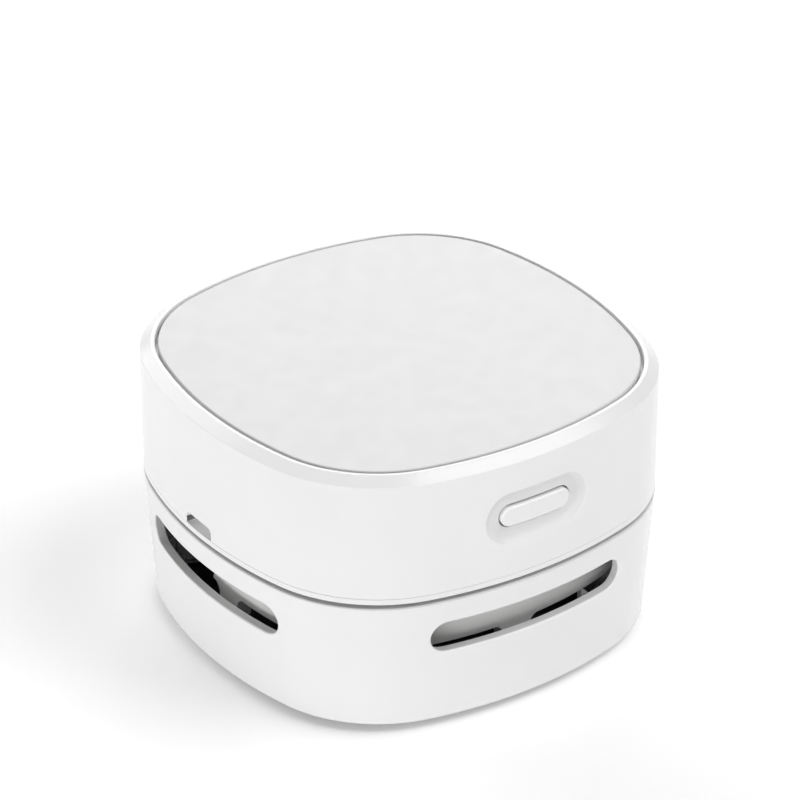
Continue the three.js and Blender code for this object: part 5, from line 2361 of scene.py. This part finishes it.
@dataclass(frozen=True)
class Studio:
    """White room with a white floor, five soft lamps and the camera of the photograph."""

    lamps: tuple[Lamp, ...] = (
        Lamp("back_right", 60, 27, 0.6, 0.6, 3.1),
        Lamp("back_left", 110, 27, 0.6, 0.6, 2.6),
        Lamp("front_right", 315, 55, 0.6, 0.6, 4.7),
        Lamp("left", 200, 6, 0.8, 0.18, 2.7),
        Lamp("front_left", 225, 6, 0.8, 0.18, 1.5),
    )
    white: str = "#FFFFFF"
    room: float = 0.225
    floor_half: float = 3000.0
    glow_near: tuple[float, float] = (0.3, 0.18)
    glow_far: tuple[float, float] = (1.0, 1.0)
    azimuth: float = -34.521
    elevation: float = 29.279
    distance: float = 726.64
    lens: float = 186.55
    sensor: float = 36.0
    shift_right: float = 0.288
    shift_up: float = -9.245

    def make(self) -> None:
        """Makes floor, room, lamps and camera."""
        bpy.context.scene.view_settings.view_transform = "Standard"
        self.make_floor()
        self.make_world()
        for lamp in self.lamps:
            lamp.build()
        self.make_camera()

    def seen(self, tree: NodeTree) -> NodeSocket:
        """Tells the rays that show a background from those that only light the object.

        Args:
            tree: gets the nodes.

        Returns:
            1 for a ray of the camera, a mirror or glass, and 0 for any other.
        """
        rays = add_node(tree, "ShaderNodeLightPath")
        shown_by = rays["Is Camera Ray"]
        for name in ("Is Glossy Ray", "Is Transmission Ray"):
            shown_by = add_node(tree, "ShaderNodeMath", {
                "operation": "MAXIMUM", 0: shown_by, 1: rays[name],
            })[0]
        return shown_by

    def make_floor(self) -> None:
        """Floor that looks white from above, keeps the shadow and is clear from below."""
        surface = Surface()
        surface.face([
            surface.corner(Vector((x, y, 0)) * self.floor_half, Vector((0, 0, 1)))
            for x, y in ((-1, -1), (1, -1), (1, 1), (-1, 1))
        ])
        sheet = surface.build("floor")
        material = bpy.data.materials.new("matt white paper")
        material.use_nodes = True
        tree = material.node_tree
        tree.nodes.clear()
        ground = add_node(tree, "ShaderNodeNewGeometry")
        away = add_node(tree, "ShaderNodeVectorMath", {"operation": "LENGTH", 0: ground["Position"]})
        level = add_node(tree, "ShaderNodeMapRange", {
            "Value": away["Value"], "From Min": self.glow_near[0], "From Max": self.glow_far[0],
            "To Min": self.glow_near[1], "To Max": self.glow_far[1],
        })[0]
        glow = add_node(tree, "ShaderNodeMath", {"operation": "MULTIPLY", 0: self.seen(tree), 1: level})[0]
        paper = add_node(tree, "ShaderNodeBsdfDiffuse", {"Color": linear(self.white)})[0]
        light = add_node(tree, "ShaderNodeEmission", {"Strength": glow})[0]
        both = add_node(tree, "ShaderNodeAddShader", {0: paper, 1: light})[0]
        clear = add_node(tree, "ShaderNodeBsdfTransparent")[0]
        sided = add_node(tree, "ShaderNodeMixShader", {0: ground["Backfacing"], 1: both, 2: clear})[0]
        add_node(tree, "ShaderNodeOutputMaterial", {"Surface": sided})
        sheet.data.materials.append(material)

    def make_world(self) -> None:
        """White room light, shown as plain white behind the floor."""
        world = bpy.data.worlds.new("white room")
        bpy.context.scene.world = world
        world.use_nodes = True
        tree = world.node_tree
        tree.nodes.clear()
        level = add_node(tree, "ShaderNodeMath", {
            "operation": "MULTIPLY_ADD", 0: self.seen(tree), 1: 1 - self.room, 2: self.room,
        })[0]
        white = add_node(tree, "ShaderNodeBackground", {"Color": linear(self.white), "Strength": level})[0]
        add_node(tree, "ShaderNodeOutputWorld", {"Surface": white})

    def make_camera(self) -> None:
        """Camera that sees the case as the photograph does."""
        turn, rise = radians(self.azimuth), radians(self.elevation)
        back = Vector((sin(turn) * cos(rise), -cos(turn) * cos(rise), sin(rise)))
        right = Vector((cos(turn), sin(turn), 0))
        top = Vector((0, 0, CAD_BOX[1].z / MM))
        place = top + back * self.distance
        target = top + right * self.shift_right + back.cross(right) * self.shift_up
        camera = bpy.data.cameras.new("camera")
        camera.lens = self.lens
        camera.sensor_width = self.sensor
        camera.dof.use_dof = False
        made = shown("camera", camera)
        made.location = place * MM
        made.rotation_euler = (target - place).to_track_quat("-Z", "Y").to_euler()
        bpy.context.scene.camera = made


def dress_drive() -> None:
    """Finishes of the solids inside the case."""
    dress(DRAWN_STEEL, "motor_can", "motor_clamp")
    dress(BLACK_ABS, "motor_end_cap", "battery_cradle", "switch_plunger", "switch_body")
    dress(BRONZE, "motor_bearing")
    dress(RUBBER, "motor_gasket")
    dress(ZINC, "clamp_screw_left", "clamp_screw_right")
    dress(NICKEL, "motor_terminal_left", "motor_terminal_right", "battery_tab_left", "battery_tab_right")
    dress(SLEEVE, "battery_cell")
    dress(LAMINATE, "circuit_board", "switch_board")
    dress(EPOXY, "charge_chip", "capacitor")
    dress(LENS, "status_led")
    dress(RED_PVC, "battery_lead_positive", "motor_lead_positive")
    dress(BLACK_PVC, "battery_lead_negative", "motor_lead_negative")


def main() -> None:
    """Builds the sub-assemblies in order, then the studio."""
    logging.basicConfig(level=logging.INFO, format="%(message)s")
    layout = Layout()
    copies = RingOfCopies()
    DustBox(layout, copies, BristleField()).make()
    FilterUnit(copies).make()
    UpperCase(layout).make()
    MiddleFrame(layout).make()
    FanUnit(layout, copies).make()
    Button(layout).make()
    ChargingSocket().make()
    dress_drive()
    Studio().make()


if __name__ == "__main__":
    main()
